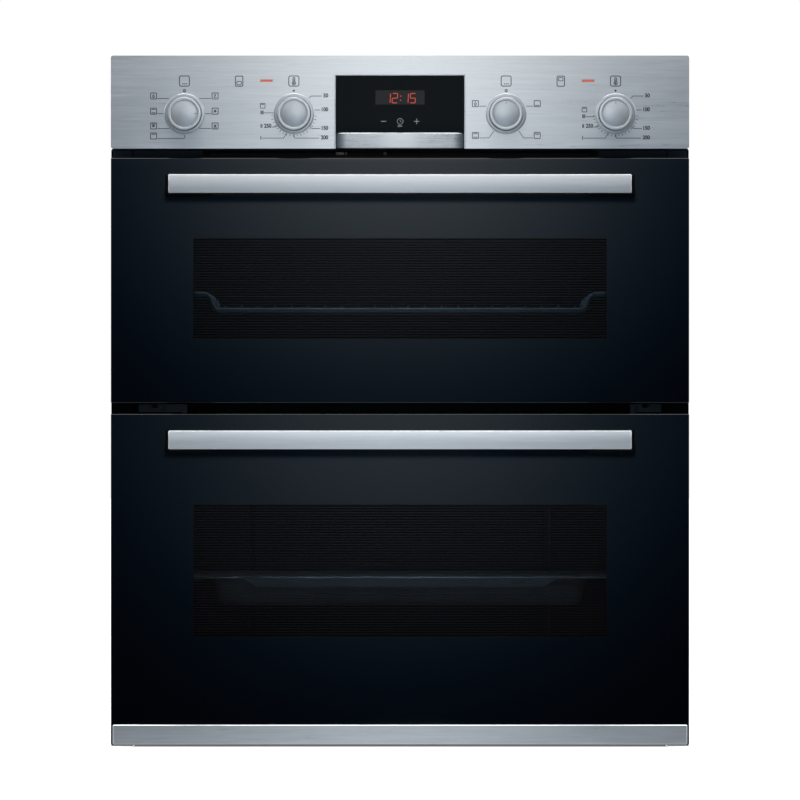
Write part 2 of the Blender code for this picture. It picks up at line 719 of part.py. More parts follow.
def build_convection():
    """The fan behind its baffle, and the motor behind the rear wall."""
    half_x, half_z, corner = 160 * MM, 112 * MM, 6 * MM
    face = OVEN_REAR_Y - 25 * MM
    x, z = about(0, half_x), about(FAN_CENTRE.z, half_z)
    baffle = box("fan_baffle", x, (face, OVEN_REAR_Y - GAP), z, "grey_enamel")
    soften(baffle, corner)
    hollow = box(
        "baffle_hollow", about(0, half_x - SHEET), (face + SHEET, OVEN_REAR_Y + corner),
        about(FAN_CENTRE.z, half_z - SHEET),
    )
    soften(hollow, corner - SHEET)
    slots = []
    for number in range(-4, 5):
        x = number * 12 * MM
        reach = math.sqrt(FAN_RADIUS**2 - x**2) - 6 * MM
        z = about(FAN_CENTRE.z, reach)
        slots.append(box(f"baffle_slot_{number + 5}", about(x, 3 * MM), about(face, 5 * MM), z))
    cut(baffle, hollow, *slots)

    def rod(name, radius, front, back, **options):
        """A cylinder on the fan's axis."""
        return cylinder(name, radius, (0, front, FAN_CENTRE.z), (0, back, FAN_CENTRE.z), **options)

    motor_front, bearing = OVEN_REAR_Y + 8 * MM, 25 * MM
    motor = rod("convection_motor", 32 * MM, motor_front, REAR_Y - 8 * MM, material="galvanised_steel")
    cut(motor, rod("motor_bore", 4.4 * MM, motor_front - 5 * MM, motor_front + bearing, sides=16))

    disc_y = FAN_CENTRE.y + 7 * MM
    disc = about(disc_y, 0.8 * MM)
    fan = rod("convection_fan", FAN_RADIUS, *disc, material="galvanised_steel", sides=32)
    shaft = rod("fan_shaft", 4 * MM, disc_y - 12 * MM, motor_front + bearing - 3 * MM, sides=16)
    blades = [shaft]
    blade_at = Vector((0, disc_y - 6.5 * MM - FAN_CENTRE.y, 36 * MM))
    for number in range(FAN_BLADES):
        turn = Matrix.Rotation(2 * math.pi * number / FAN_BLADES, 4, "Y")
        blade = box(f"fan_blade_{number + 1}", about(0, 0.6 * MM), about(0, 7 * MM), about(0, 22 * MM))
        blade.matrix_world = Matrix.Translation(FAN_CENTRE + turn @ blade_at) @ turn
        blades.append(blade)
    join_many(fan, blades)
    hang(pivot("convection_fan_axis", FAN_CENTRE), fan)


def build_blower():
    """The cross-flow blower over the top oven: it cools the switches and blows out above the top door."""
    centre, half = BLOWER_CENTRE, BLOWER_HALF_LENGTH

    def rod(name, radius, left, right, **options):
        """A cylinder on the wheel's axis."""
        return cylinder(name, radius, (left, centre.y, centre.z), (right, centre.y, centre.z), **options)

    housing = box(
        "blower_housing", about(0, half + 8 * MM), (centre.y - 40 * MM, centre.y + 36 * MM),
        about(centre.z, 36 * MM), "galvanised_steel",
    )
    motor = rod("blower_motor", 24 * MM, half + 6 * MM, half + 44 * MM)
    bore = rod("blower_bore", BLOWER_RADIUS + 4 * MM, -half - 3 * MM, half + 3 * MM)
    shaft_bore = rod("blower_shaft_bore", 3.5 * MM, -half - 20 * MM, half + 30 * MM, sides=12)
    x = about(0, half)
    outlet = box("blower_outlet", x, (centre.y - 60 * MM, centre.y), about(centre.z - 24 * MM, 8 * MM))
    inlet = box("blower_inlet", x, (centre.y, centre.y + 22 * MM), about(centre.z + 35 * MM, 25 * MM))
    join(housing, motor)
    cut(housing, bore, shaft_bore, outlet, inlet)

    wheel_points = []
    for number in range(BLOWER_BLADES):
        for share, radius in ((0, BLOWER_RADIUS), (0.45, BLOWER_RADIUS), (0.5, 19 * MM), (0.95, 19 * MM)):
            angle = 2 * math.pi * (number + share) / BLOWER_BLADES
            wheel_points.append((radius * math.cos(angle), radius * math.sin(angle)))
    wheel = outline("blower_wheel", wheel_points, 2 * half, centre, "galvanised_steel")
    wheel.data.materials.clear()
    wheel.data.materials.append(MATERIALS["galvanised_steel"])
    join(wheel, rod("blower_shaft", 3 * MM, -half - 7 * MM, half + 28 * MM, sides=12))
    hang(pivot("blower_axis", centre), wheel)


# ------------------------------------------------------------------ shelf, pan and racks

def build_shelf_grid(bar):
    """The wires of the shelf's sunk middle, welded across a bar under their middle."""
    wire = 1.4 * MM
    front, back = SHELF_Y
    bar_y, bar_z = about((front + back) / 2, bar), about(SHELF_LOW_Z + 0.7 * MM, bar)
    grid = box("wire_shelf_grid", about(0, SHELF_FLOOR_X), bar_y, bar_z, "chromed_wire")
    wire_z = about(SHELF_LOW_Z + bar + GAP + wire, wire)
    wires = []
    for number in range(SHELF_WIRES):
        x = about(SHELF_OUTER_WIRE_X * (2 * number / (SHELF_WIRES - 1) - 1), wire)
        wires.append(box(f"shelf_wire_{number + 1}", x, (front + 1 * MM, back - 1 * MM), wire_z))
    return join_many(grid, wires)


def build_shelf_frame(bar):
    """The frame of the shelf: bent crossbars at the front and the back, and a raised rail each side."""
    front, back = SHELF_Y
    half, edge = SHELF_FLOOR_X, SHELF_SIDE_X
    low, side_z = about(SHELF_LOW_Z, bar), about(SHELF_SIDE_Z, bar)
    frame = box("wire_shelf", about(0, half), about(front + bar, bar), low, "chromed_wire")
    pieces = [box("shelf_rear_bar", about(0, half), about(back - bar, bar), low)]
    # Joined shapes are each a little slimmer than the last, so that no two faces coincide.
    for side, sign in (("left", -1), ("right", 1)):
        rail = mirrored((edge - SHELF_BAR, edge), sign)
        pieces.append(box(f"shelf_{side}_rail", rail, (front + 0.7 * MM, back - 0.7 * MM), side_z))
        for end, y in (("front", front + bar), ("rear", back - bar)):
            riser = mirrored(about(half + bar - 0.5 * MM, bar), sign)
            riser_z = (low[0] + 0.2 * MM, side_z[1] - 0.2 * MM)
            pieces.append(box(f"shelf_{side}_{end}_riser", riser, about(y, bar - 0.2 * MM), riser_z))
            arm = mirrored((half + 1 * MM, edge - 1 * MM), sign)
            slimmer = bar - 0.4 * MM
            arm_z = about(SHELF_SIDE_Z, slimmer)
            pieces.append(box(f"shelf_{side}_{end}_arm", arm, about(y, slimmer), arm_z))
    return join_many(frame, pieces)


def build_wire_shelf():
    """A drop-centre shelf of welded wire, as its frame and its grid."""
    bar = SHELF_BAR / 2
    slide = pivot("wire_shelf_slide", (0, SHELF_Y[0], SHELF_SIDE_Z))
    hang(slide, build_shelf_frame(bar), build_shelf_grid(bar))


def build_universal_pan():
    """A deep tray with a flat rim that rides on the racks."""
    floor_z, rim_z = PAN_Z
    front, back = PAN_Y
    inset_front, inset_back = front + 14 * MM, back - 10 * MM
    shape = bmesh.new()
    rings = (
        ((PAN_RIM_X, front, back), rim_z),
        ((PAN_FLOOR_X + 6 * MM, inset_front - 3 * MM, inset_back + 3 * MM), rim_z),
        ((PAN_FLOOR_X, inset_front, inset_back), floor_z),
    )
    loops = []
    for (half, low, high), z in rings:
        corners = ((-half, low), (half, low), (half, high), (-half, high))
        loops.append([shape.verts.new((x, y, z)) for x, y in corners])
    for outer, inner in zip(loops, loops[1:]):
        for number in range(4):
            after = (number + 1) % 4
            shape.faces.new((outer[number], outer[after], inner[after], inner[number]))
    shape.faces.new(loops[-1])
    bmesh.ops.recalc_face_normals(shape, faces=shape.faces)
    mesh = bpy.data.meshes.new("universal_pan")
    shape.to_mesh(mesh)
    shape.free()
    pan = place("universal_pan", mesh, material="grey_enamel")
    solidify = pan.modifiers.new("sheet", "SOLIDIFY")
    solidify.thickness = SHEET
    solidify.offset = 1
    solidify.use_even_offset = True
    hang(pivot("universal_pan_slide", (0, front, rim_z)), pan)


def build_racks():
    """Wire racks that hook onto the main oven's walls."""
    wire = 2 * MM
    front, back = -228 * MM, 160 * MM
    low, high = RACK_LEVELS[0] - 16 * MM, RACK_LEVELS[-1] + 30 * MM
    middle_x = PAN_RIM_X + 1.2 * MM + wire
    for side, sign in (("left", -1), ("right", 1)):
        upright_x = mirrored(about(middle_x, wire), sign)
        end_rail_x = mirrored(about(middle_x, wire - 0.4 * MM), sign)
        ledge_x = mirrored((PAN_RIM_X - 5 * MM, PAN_RIM_X + 2 * MM), sign)
        rack = box(f"main_{side}_rack", upright_x, about(front + wire, wire), (low, high), "chromed_wire")
        pieces = []
        for number, y in enumerate(((front + back) / 2, back - wire)):
            pieces.append(box(f"{side}_upright_{number + 2}", upright_x, about(y, wire), (low, high)))
        for number, z in enumerate([low + 2 * wire, *RACK_LEVELS, high - 2 * wire]):
            x = ledge_x if z in RACK_LEVELS else end_rail_x
            y = (front + 0.4 * MM, back - 0.4 * MM)
            pieces.append(box(f"{side}_rail_{number + 1}", x, y, about(z, wire)))
        join_many(rack, pieces)


# ------------------------------------------------------------------ doors

def build_handle(door, z_top):
    """A flat bar on two posts."""
    half, middle = HANDLE_LENGTH / 2, z_top - HANDLE_DROP
    bar_y = (FRONT_Y - HANDLE_REACH, FRONT_Y - HANDLE_REACH + HANDLE_DEPTH)
    bar_z = (middle - HANDLE_HEIGHT / 2, middle + HANDLE_HEIGHT / 2)
    bar = box(f"{door}_handle_bar", (-half, half), bar_y, bar_z, "brushed_steel")
    pieces = [soften(bar, 1 * MM)]
    for side, sign in (("left", -1), ("right", 1)):
        x = mirrored((half + 3 * MM - POST_WIDTH, half + 3 * MM), sign)
        post = box(
            f"{door}_{side}_handle_post", x, (bar_y[1] + GAP, FRONT_Y - GAP),
            (bar_z[0] - 3.8 * MM, bar_z[1] + 0.4 * MM), "black_plastic",
        )
        pieces.append(soften(post, 1.5 * MM))
    return pieces


def hinge_axis(door_z):
    return Vector((0, HINGE_Y, door_z[0] + HINGE_RISE))


def build_hinge_arms(door, door_z):
    """The arms hook into the front frame. Each is one steel pressing with a pin that the door turns on."""
    axis = hinge_axis(door_z)
    boss, root_y = 5 * MM, PLATE_Y - GAP
    plate_low = max(axis.z - 17.4 * MM, 2 * MM)
    plate_high = max(axis.z - 10.5 * MM, plate_low + 8 * MM)
    for side, sign in (("left", -1), ("right", 1)):
        arc = []
        for step in range(9):
            angle = math.radians(45 + 30 * step)
            arc.append((axis.y + boss * math.cos(angle), axis.z + boss * math.sin(angle)))
        foot_z = plate_low + 1 * MM
        web = [
            (root_y - 10 * MM, axis.z - 3.6 * MM), (root_y - 6 * MM, foot_z),
            (root_y, foot_z), (root_y, axis.z + 3.6 * MM),
        ]
        arm = outline(
            f"{door}_{side}_hinge_arm", [(y, z) for y, z in arc + web], ARM_THICKNESS, (sign * ARM_X, 0, 0)
        )
        arm.data.materials.append(MATERIALS["galvanised_steel"])
        reach = ARM_THICKNESS / 2 + 5 * MM
        pin = cylinder(
            f"{door}_{side}_hinge_pin", PIN_RADIUS, (sign * ARM_X - reach, axis.y, axis.z),
            (sign * ARM_X + reach, axis.y, axis.z), sides=16,
        )
        inner = FRONT_WIDTH / 2 - (78 * MM if sign < 0 else 60 * MM)
        plate = box(
            f"{door}_{side}_hinge_plate", mirrored((inner, FRONT_WIDTH / 2 - 28 * MM), sign),
            (root_y - 2 * MM, root_y), (plate_low, plate_high),
        )
        join(arm, pin, plate)


def build_door_frame(door, z):
    """The lip behind the outer glass, and the deeper tray behind it that holds the inner glass."""
    axis = hinge_axis(z)
    lip_half = FRONT_WIDTH / 2 - 3 * MM
    frame = box(
        f"{door}_door_frame", (-lip_half, lip_half), (FRONT_Y + GLASS + GAP, DOOR_LIP_BACK_Y),
        (z[0] + 2 * MM, z[1] - 2 * MM), "black_plastic",
    )
    tray = box(
        f"{door}_door_tray", about(0, DOOR_TRAY_HALF_WIDTH), (DOOR_LIP_BACK_Y - 1 * MM, DOOR_TRAY_BACK_Y),
        (axis.z + 7 * MM, z[1] - 14 * MM),
    )
    hole = box(
        f"{door}_door_hole", about(0, DOOR_WINDOW_HALF_WIDTH),
        (FRONT_Y, PLATE_Y), (z[0] + 48 * MM, z[1] - 42 * MM),
    )
    cutters = [hole]
    for side, sign in (("left", -1), ("right", 1)):
        x = about(sign * ARM_X, ARM_THICKNESS / 2 + 1.2 * MM)
        y, slot_z = (FRONT_Y, DOOR_LIP_BACK_Y + 1 * MM), (z[0] - 5 * MM, axis.z + 6.4 * MM)
        cutters.append(box(f"{door}_{side}_arm_slot", x, y, slot_z))
        reach = ARM_THICKNESS / 2 + 6 * MM
        cutters.append(cylinder(
            f"{door}_{side}_pin_hole", PIN_RADIUS + 0.4 * MM, (sign * ARM_X - reach, axis.y, axis.z),
            (sign * ARM_X + reach, axis.y, axis.z), sides=16,
        ))
    join(frame, tray)
    return cut(frame, *cutters)


def build_door(door, z):
    half = FRONT_WIDTH / 2
    glass = box(f"{door}_outer_glass", (-half, half), (FRONT_Y, FRONT_Y + GLASS), z, "black_glass")
    soften(glass, 0.8 * MM, 1)
    inner_x = about(0, DOOR_TRAY_HALF_WIDTH - 10 * MM)
    inner_y = (DOOR_TRAY_BACK_Y + GAP, DOOR_TRAY_BACK_Y + GAP + GLASS)
    inner_z = (z[0] + 18 * MM, z[1] - 15 * MM)
    inner = box(f"{door}_inner_glass", inner_x, inner_y, inner_z, "clear_glass")
    pieces = [glass, inner, build_door_frame(door, z), *build_handle(door, z[1])]
    if door == "main":
        trim = box(
            "main_door_trim", (-half + 2 * MM, half - 2 * MM), (FRONT_Y - 1.8 * MM, FRONT_Y - GAP),
            (z[0], z[0] + DOOR_TRIM_HEIGHT), "brushed_steel",
        )
        pieces.append(soften(trim, 0.7 * MM, 1))
    hang(pivot(f"{door}_door_axis", hinge_axis(z)), *pieces)
    build_hinge_arms(door, z)


def main():
    build_base_pan()
    build_outer_casing()
    build_rear_cover()
    build_terminal_cover()
    build_front_frame()
    build_control_fascia()
    build_display()
    build_pilots()
    build_dials()
    build_ovens()
    build_seals()
    build_heaters()
    build_lamp()
    build_convection()
    build_blower()
    build_wire_shelf()
    build_universal_pan()
    build_racks()
    build_door("top", TOP_DOOR_Z)
    build_door("main", MAIN_DOOR_Z)
    for obj in OVEN.objects:
        if obj.type == "MESH":
            obj.data.shade_smooth()
            obj.data.set_sharp_from_angle(angle=math.radians(35))


main()
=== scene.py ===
"""The looks of a built-under double oven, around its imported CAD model.

Metres, +Z up. The front faces -Y. Every place is worked out from the CAD nodes' boxes.
"""

import json
import math

import bmesh
import bpy
from mathutils import Matrix, Vector


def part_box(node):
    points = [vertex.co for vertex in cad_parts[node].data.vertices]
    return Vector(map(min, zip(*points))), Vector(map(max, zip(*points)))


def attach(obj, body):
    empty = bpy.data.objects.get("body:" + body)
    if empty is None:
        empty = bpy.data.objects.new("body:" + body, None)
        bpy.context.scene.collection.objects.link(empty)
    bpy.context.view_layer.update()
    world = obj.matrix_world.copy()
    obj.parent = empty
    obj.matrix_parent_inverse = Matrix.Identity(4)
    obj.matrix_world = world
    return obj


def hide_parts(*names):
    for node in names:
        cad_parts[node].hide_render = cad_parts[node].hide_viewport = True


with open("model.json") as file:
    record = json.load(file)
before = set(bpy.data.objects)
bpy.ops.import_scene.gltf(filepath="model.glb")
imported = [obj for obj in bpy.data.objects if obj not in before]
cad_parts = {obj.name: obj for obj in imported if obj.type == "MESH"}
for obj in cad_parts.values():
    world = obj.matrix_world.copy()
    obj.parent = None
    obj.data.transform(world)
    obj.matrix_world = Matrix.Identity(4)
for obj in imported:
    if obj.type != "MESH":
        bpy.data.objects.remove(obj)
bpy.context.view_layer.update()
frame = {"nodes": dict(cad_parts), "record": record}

MM = 0.001
SIDES = (("left", -1), ("right", 1))
DOORS = ("top", "main")
# Each dial, with the turn of its pointer in degrees.
DIAL_TURNS = {"main_function": 90, "main_temperature": 135, "top_function": 0, "top_temperature": 0}

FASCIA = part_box("control_fascia")
FRONT_Y = FASCIA[0].y
HALF_WIDTH = FASCIA[1].x


def dial_centre(name):
    """Where a dial's axis meets the panel's face."""
    low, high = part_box(f"{name}_shaft")
    return Vector(((low.x + high.x) / 2, FRONT_Y, (low.z + high.z) / 2))


DIAL_CENTRES = {name: dial_centre(name) for name in DIAL_TURNS}


# ------------------------------------------------------------------ camera

CAMERA_DISTANCE = 12.0
SENSOR = 36.0
# The oven's front fills 72.3% of the picture's width.
PICTURE_WIDTH = 2 * HALF_WIDTH / 0.723


def put_in_scene(name, data):
    obj = bpy.data.objects.new(name, data)
    bpy.context.collection.objects.link(obj)
    return obj


def make_camera():
    data = bpy.data.cameras.new("camera")
    data.sensor_width = SENSOR
    data.lens = SENSOR * CAMERA_DISTANCE / PICTURE_WIDTH
    data.clip_end = 100
    camera = put_in_scene("camera", data)
    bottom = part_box("main_outer_glass")[0].z
    camera.location = (0, FRONT_Y - CAMERA_DISTANCE, (bottom + FASCIA[1].z) / 2)
    camera.rotation_euler = (math.radians(90), 0, 0)
    bpy.context.scene.camera = camera


make_camera()


# ------------------------------------------------------------------ shader nodes


def scaled(colour, factor):
    return tuple(channel * factor for channel in colour)


class Nodes:
    """A node tree and short ways to add to it. An input is a value or a socket to link from."""

    def __init__(self, tree):
        self.tree = tree

    def put(self, socket, value):
        if isinstance(value, bpy.types.NodeSocket):
            self.tree.links.new(value, socket)
        elif socket.type == "RGBA" and len(value) == 3:
            socket.default_value = (*value, 1)
        else:
            socket.default_value = value

    def add(self, kind, inputs=None, **settings):
        """Adds a node. Its inputs are given by name or by number."""
        made = self.tree.nodes.new("ShaderNode" + kind)
        for name, value in settings.items():
            setattr(made, name, value)
        for name, value in (inputs or {}).items():
            self.put(made.inputs[name], value)
        return made

    def place(self, scale=(1, 1, 1)):
        """The shaded point in the oven's own frame, in metres, times scale."""
        point = self.add("TexCoord").outputs["Object"]
        return self.add("Mapping", {"Vector": point, "Scale": scale}).outputs[0]

    def split_place(self):
        """The shaded point's x, y and z in the oven's frame."""
        return self.add("SeparateXYZ", {"Vector": self.add("TexCoord").outputs["Object"]}).outputs

    def noise(self, scale, detail=2.0, rough=0.5):
        """Noise over the oven's frame. scale is features per metre, one number or one for each axis."""
        scale = scale if hasattr(scale, "__len__") else (scale,) * 3
        inputs = {"Vector": self.place(scale), "Scale": 1.0, "Detail": detail, "Roughness": rough}
        return self.add("TexNoise", inputs).outputs["Fac"]

    def crystals(self, scale):
        """Cells of random grey, with scale cells to the metre."""
        cells = self.add("TexVoronoi", {"Vector": self.place((scale,) * 3), "Scale": 1.0, "Randomness": 1.0})
        return self.add("SeparateColor", {"Color": cells.outputs["Color"]}).outputs[0]

    def ramp(self, value, *stops):
        """A colour ramp over (position, colour) stops. A colour is one grey number or three."""
        made = self.add("ValToRGB", {"Fac": value})
        elements = made.color_ramp.elements
        while len(elements) < len(stops):
            elements.new(0.5)
        for element, (position, colour) in zip(elements, stops):
            element.position = position
            element.color = (*(colour if hasattr(colour, "__len__") else (colour,) * 3), 1)
        return made.outputs["Color"]

    def shades(self, value, colour, spread, low=0.3, high=0.7):
        """A colour from a shade darker where value is low to a shade lighter where it is high."""
        return self.ramp(value, (low, scaled(colour, 1 - spread)), (high, scaled(colour, 1 + spread)))

    def math(self, operation, *values):
        made = self.add("Math", operation=operation)
        for socket, value in zip(made.inputs, values):
            self.put(socket, value)
        return made.outputs[0]

    def times(self, first, *others):
        """A product of values."""
        for other in others:
            first = self.math("MULTIPLY", first, other)
        return first

    def line(self, value, slope, start):
        """value * slope + start."""
        return self.math("MULTIPLY_ADD", value, slope, start)

    def blend(self, share, first, second):
        """Mixes two colours."""
        made = self.add("Mix", {0: share}, data_type="RGBA")
        for name, value in (("A", first), ("B", second)):
            self.put(next(s for s in made.inputs if s.name == name and s.type == "RGBA"), value)
        return next(s for s in made.outputs if s.type == "RGBA")

    def choose(self, share, first, second):
        """Mixes two numbers."""
        return self.add("Mix", {"Factor": share, "A": first, "B": second}).outputs[0]

    def bump(self, height, strength, distance):
        inputs = {"Height": height, "Strength": strength, "Distance": distance}
        return self.add("Bump", inputs).outputs["Normal"]

    def inside(self, value, low, high, edge=0.2 * MM):
        """1 between low and high, 0 outside."""
        ramps = []
        for limit, sign in ((low, 1), (high, -1)):
            ahead = self.line(self.math("SUBTRACT", value, limit), sign / edge, 0.5)
            ramps.append(self.add("Clamp", {"Value": ahead}).outputs[0])
        return self.times(*ramps)

    def step_up(self, value, start, length):
        """0 below start, 1 above start + length, smooth between."""
        limits = {"Value": value, "From Min": start, "From Max": start + length}
        return self.add("MapRange", limits, interpolation_type="SMOOTHSTEP").outputs[0]

    def bell(self, value, middle, spread):
        """1 at middle, falling off like a bell."""
        away = self.math("DIVIDE", self.math("SUBTRACT", value, middle), spread)
        return self.math("EXPONENT", self.times(away, away, -1.0))


class Look(Nodes):
    """A Principled material. Each keyword is a socket's name, with _ for a space."""

    def __init__(self, name, **inputs):
        self.material = bpy.data.materials.new(name)
        self.material.use_nodes = True
        super().__init__(self.material.node_tree)
        self.shader = self.tree.nodes["Principled BSDF"]
        self.feed(**inputs)

    def feed(self, **inputs):
        for key, value in inputs.items():
            self.put(self.shader.inputs[key.replace("_", " ")], value)
        return self.material

    def surface(self, tone, rough_by, rough, relief=None, strength=0.0, depth=0.0):
        """Colour, roughness as two (position, value) stops over rough_by, and a relief."""
        self.feed(Base_Color=tone, Roughness=self.ramp(rough_by, *rough))
        if relief is not None:
            self.feed(Normal=self.bump(relief, strength, depth))
        return self.material

    def see_through(self, cover, tint):
        """Shows what lies behind, tinted, as far as cover leaves it open."""
        clear = self.add("BsdfTransparent", {"Color": tint})
        mixed = self.add("MixShader", {"Fac": cover, 1: clear.outputs[0], 2: self.shader.outputs[0]})
        self.put(self.tree.nodes["Material Output"].inputs["Surface"], mixed.outputs[0])
        return self.material


# ------------------------------------------------------------------ materials


def brushed_steel(name, colour, roughness=0.3, contrast=0.1):
    """Stainless steel brushed along X: long fine streaks, and highlights spread across them."""
    look = Look(name, Metallic=1.0, Anisotropic=0.75, Anisotropic_Rotation=0.25)
    fine = look.noise((38, 1000, 1000), 3, 0.6)
    middling = look.noise((13, 420, 420), 3, 0.6)
    broad = look.noise((2, 60, 60), 2, 0.5)
    streaks = look.line(fine, 0.5, look.line(broad, 0.2, look.times(middling, 0.4)))
    limits = {"From Min": 0.3, "From Max": 0.8, "To Min": roughness - 0.05, "To Max": roughness + 0.07}
    return look.feed(
        Base_Color=look.shades(streaks, colour, contrast, 0.35, 0.75),
        Roughness=look.add("MapRange", {"Value": streaks, **limits}).outputs[0],
        Tangent=look.add("Tangent", direction_type="RADIAL", axis="Z").outputs[0],
        Normal=look.bump(fine, 0.05, 0.02 * MM),
    )


def galvanised_steel():
    """Zinc-coated sheet: a faint crystal spangle and a dull, uneven sheen."""
    look = Look("galvanised_steel_sheet", Metallic=1.0)
    grey = look.crystals(140)
    mixed = look.line(grey, 0.35, look.times(look.noise(9, 4, 0.6), 0.65))
    tone = look.ramp(mixed, (0.1, (0.26, 0.272, 0.28)), (0.9, (0.37, 0.385, 0.395)))
    return look.surface(tone, mixed, ((0.0, 0.46), (1.0, 0.58)), grey, 0.015, 0.2 * MM)


def chromed_wire():
    look = Look("chromed_wire_finish", Metallic=1.0)
    haze = look.noise(180, 3, 0.6)
    tone = look.ramp(haze, (0.3, (0.80, 0.81, 0.82)), (0.75, (0.93, 0.93, 0.94)))
    return look.surface(tone, haze, ((0.2, 0.06), (0.8, 0.14)), haze, 0.05, 0.1 * MM)


def enamel(name, colour, roughness=0.3, gloss=0.6):
    """Fired enamel with a little orange peel."""
    look = Look(name, Specular_IOR_Level=gloss)
    cloud, peel = look.noise(25, 3, 0.5), look.noise(420, 2, 0.5)
    rough = ((0.2, roughness - 0.03), (0.8, roughness + 0.08))
    return look.surface(look.shades(cloud, colour, 0.15), cloud, rough, peel, 0.10, 0.15 * MM)


def moulded_plastic(name, colour, roughness=0.42, grain=900):
    """Moulded plastic with a fine spark-eroded grain."""
    look = Look(name)
    pebble, cloud = look.noise(grain, 3, 0.6), look.noise(20, 2, 0.5)
    rough = ((0.25, roughness - 0.06), (0.75, roughness + 0.08))
    return look.surface(look.shades(cloud, colour, 0.12), pebble, rough, pebble, 0.18, 0.08 * MM)


def silver_paint(name, colour, roughness=0.3):
    """Metallic silver lacquer, with fine flakes under a satin coat."""
    look = Look(name, Metallic=0.85, Coat_Weight=0.25, Coat_Roughness=0.2)
    flakes = look.crystals(3500)
    rough = ((0.0, roughness - 0.03), (1.0, roughness + 0.05))
    return look.surface(look.shades(flakes, colour, 0.07, 0.0, 1.0), flakes, rough, flakes, 0.02, 0.02 * MM)


def seal_braid():
    """Woven silicone and glass-fibre seal."""
    look = Look("seal_braid")
    weave = look.add("TexChecker", {"Vector": look.place((420, 420, 420)), "Scale": 1.0}).outputs["Fac"]
    fuzz = look.noise(600, 3, 0.6)
    height = look.line(weave, 0.6, fuzz)
    tone = look.ramp(height, (0.3, (0.03, 0.03, 0.032)), (1.3, (0.10, 0.10, 0.105)))
    return look.surface(tone, fuzz, ((0.2, 0.65), (0.8, 0.85)), height, 0.3, 0.3 * MM)


def heater_sheath():
    """Steel heater tube, stained by heat."""
    look = Look("heater_sheath_stained", Metallic=0.9)
    stain = look.noise(22, 4, 0.6)
    tone = look.ramp(stain, (0.3, (0.10, 0.09, 0.085)), (0.55, (0.19, 0.16, 0.14)), (0.8, (0.12, 0.12, 0.14)))
    return look.surface(tone, stain, ((0.2, 0.42), (0.8, 0.62)), look.noise(700), 0.1, 0.1 * MM)


def printed_ink(name, colour, roughness=0.5, gloss=0.4):
    """Screen-printed ink, a little uneven."""
    look = Look(name, Specular_IOR_Level=gloss)
    cloud = look.noise(600, 2, 0.5)
    rough = ((0.3, roughness - 0.05), (0.7, roughness + 0.05))
    return look.surface(look.shades(cloud, colour, 0.1), cloud, rough)


def glowing(name, light, body, reach=None):
    """A lit diffuser, a little uneven. Each colour is a dim and a full one. reach is the lit span of y."""
    look = Look(name, Emission_Strength=1.0, Roughness=0.3)
    cloud = look.noise(900, 2, 0.5)
    lit, tone = (look.ramp(cloud, *zip((0.3, 0.7), pair)) for pair in (light, body))
    if reach:
        lit = look.blend(look.inside(look.split_place()[1], *reach, 1 * MM), (0, 0, 0), lit)
    return look.feed(Base_Color=tone, Emission_Color=lit)


LINE_PITCH = 2.71 * MM
BLACK_PRINT = (0.0003, 0.0004, 0.0007)


def door_glass(door):
    """Toughened glass, printed black on its rear but for a window of fine lines."""
    look = Look(f"{door}_door_glass", IOR=1.5, Base_Color=BLACK_PRINT)
    x, _, z = look.split_place()
    half = 212.2 * MM
    middle, tall = {"top": (471.3 * MM, 104.2 * MM), "main": (181.5 * MM, 136.6 * MM)}[door]
    low, high = middle - tall / 2, middle + tall / 2
    in_window = look.times(look.inside(x, -half, half), look.inside(z, low, high))
    phase = look.math("FRACT", look.math("DIVIDE", look.math("SUBTRACT", high, z), LINE_PITCH))
    line = look.times(in_window, look.math("LESS_THAN", phase, 0.5))
    cover = look.line(line, 0.45, look.line(in_window, -0.99, 1.0))
    tone = look.blend(line, BLACK_PRINT, (0.0062, 0.0044, 0.0034))
    look.surface(tone, look.noise(6, 4, 0.6), ((0.3, 0.015), (0.8, 0.045)))
    return look.see_through(cover, (0.66, 0.69, 0.72))


def clear_glass():
    """A clear pane: what lies behind it, with a film of gloss."""
    look = Look("clear_glass_pane", IOR=1.5, Base_Color=(0.02, 0.024, 0.025))
    look.feed(Roughness=look.ramp(look.noise(7, 4, 0.6), (0.3, 0.02), (0.8, 0.06)))
    share = look.math("ADD", look.add("Fresnel", {"IOR": 1.5}).outputs[0], 0.03)
    return look.see_through(share, (0.86, 0.89, 0.9))


def display_glass():
    look = Look("display_glass_black", IOR=1.5, Specular_IOR_Level=0.02, Base_Color=(0.0028, 0.0040, 0.0050))
    return look.feed(Roughness=look.ramp(look.noise(8, 3), (0.3, 0.10), (0.8, 0.16)))


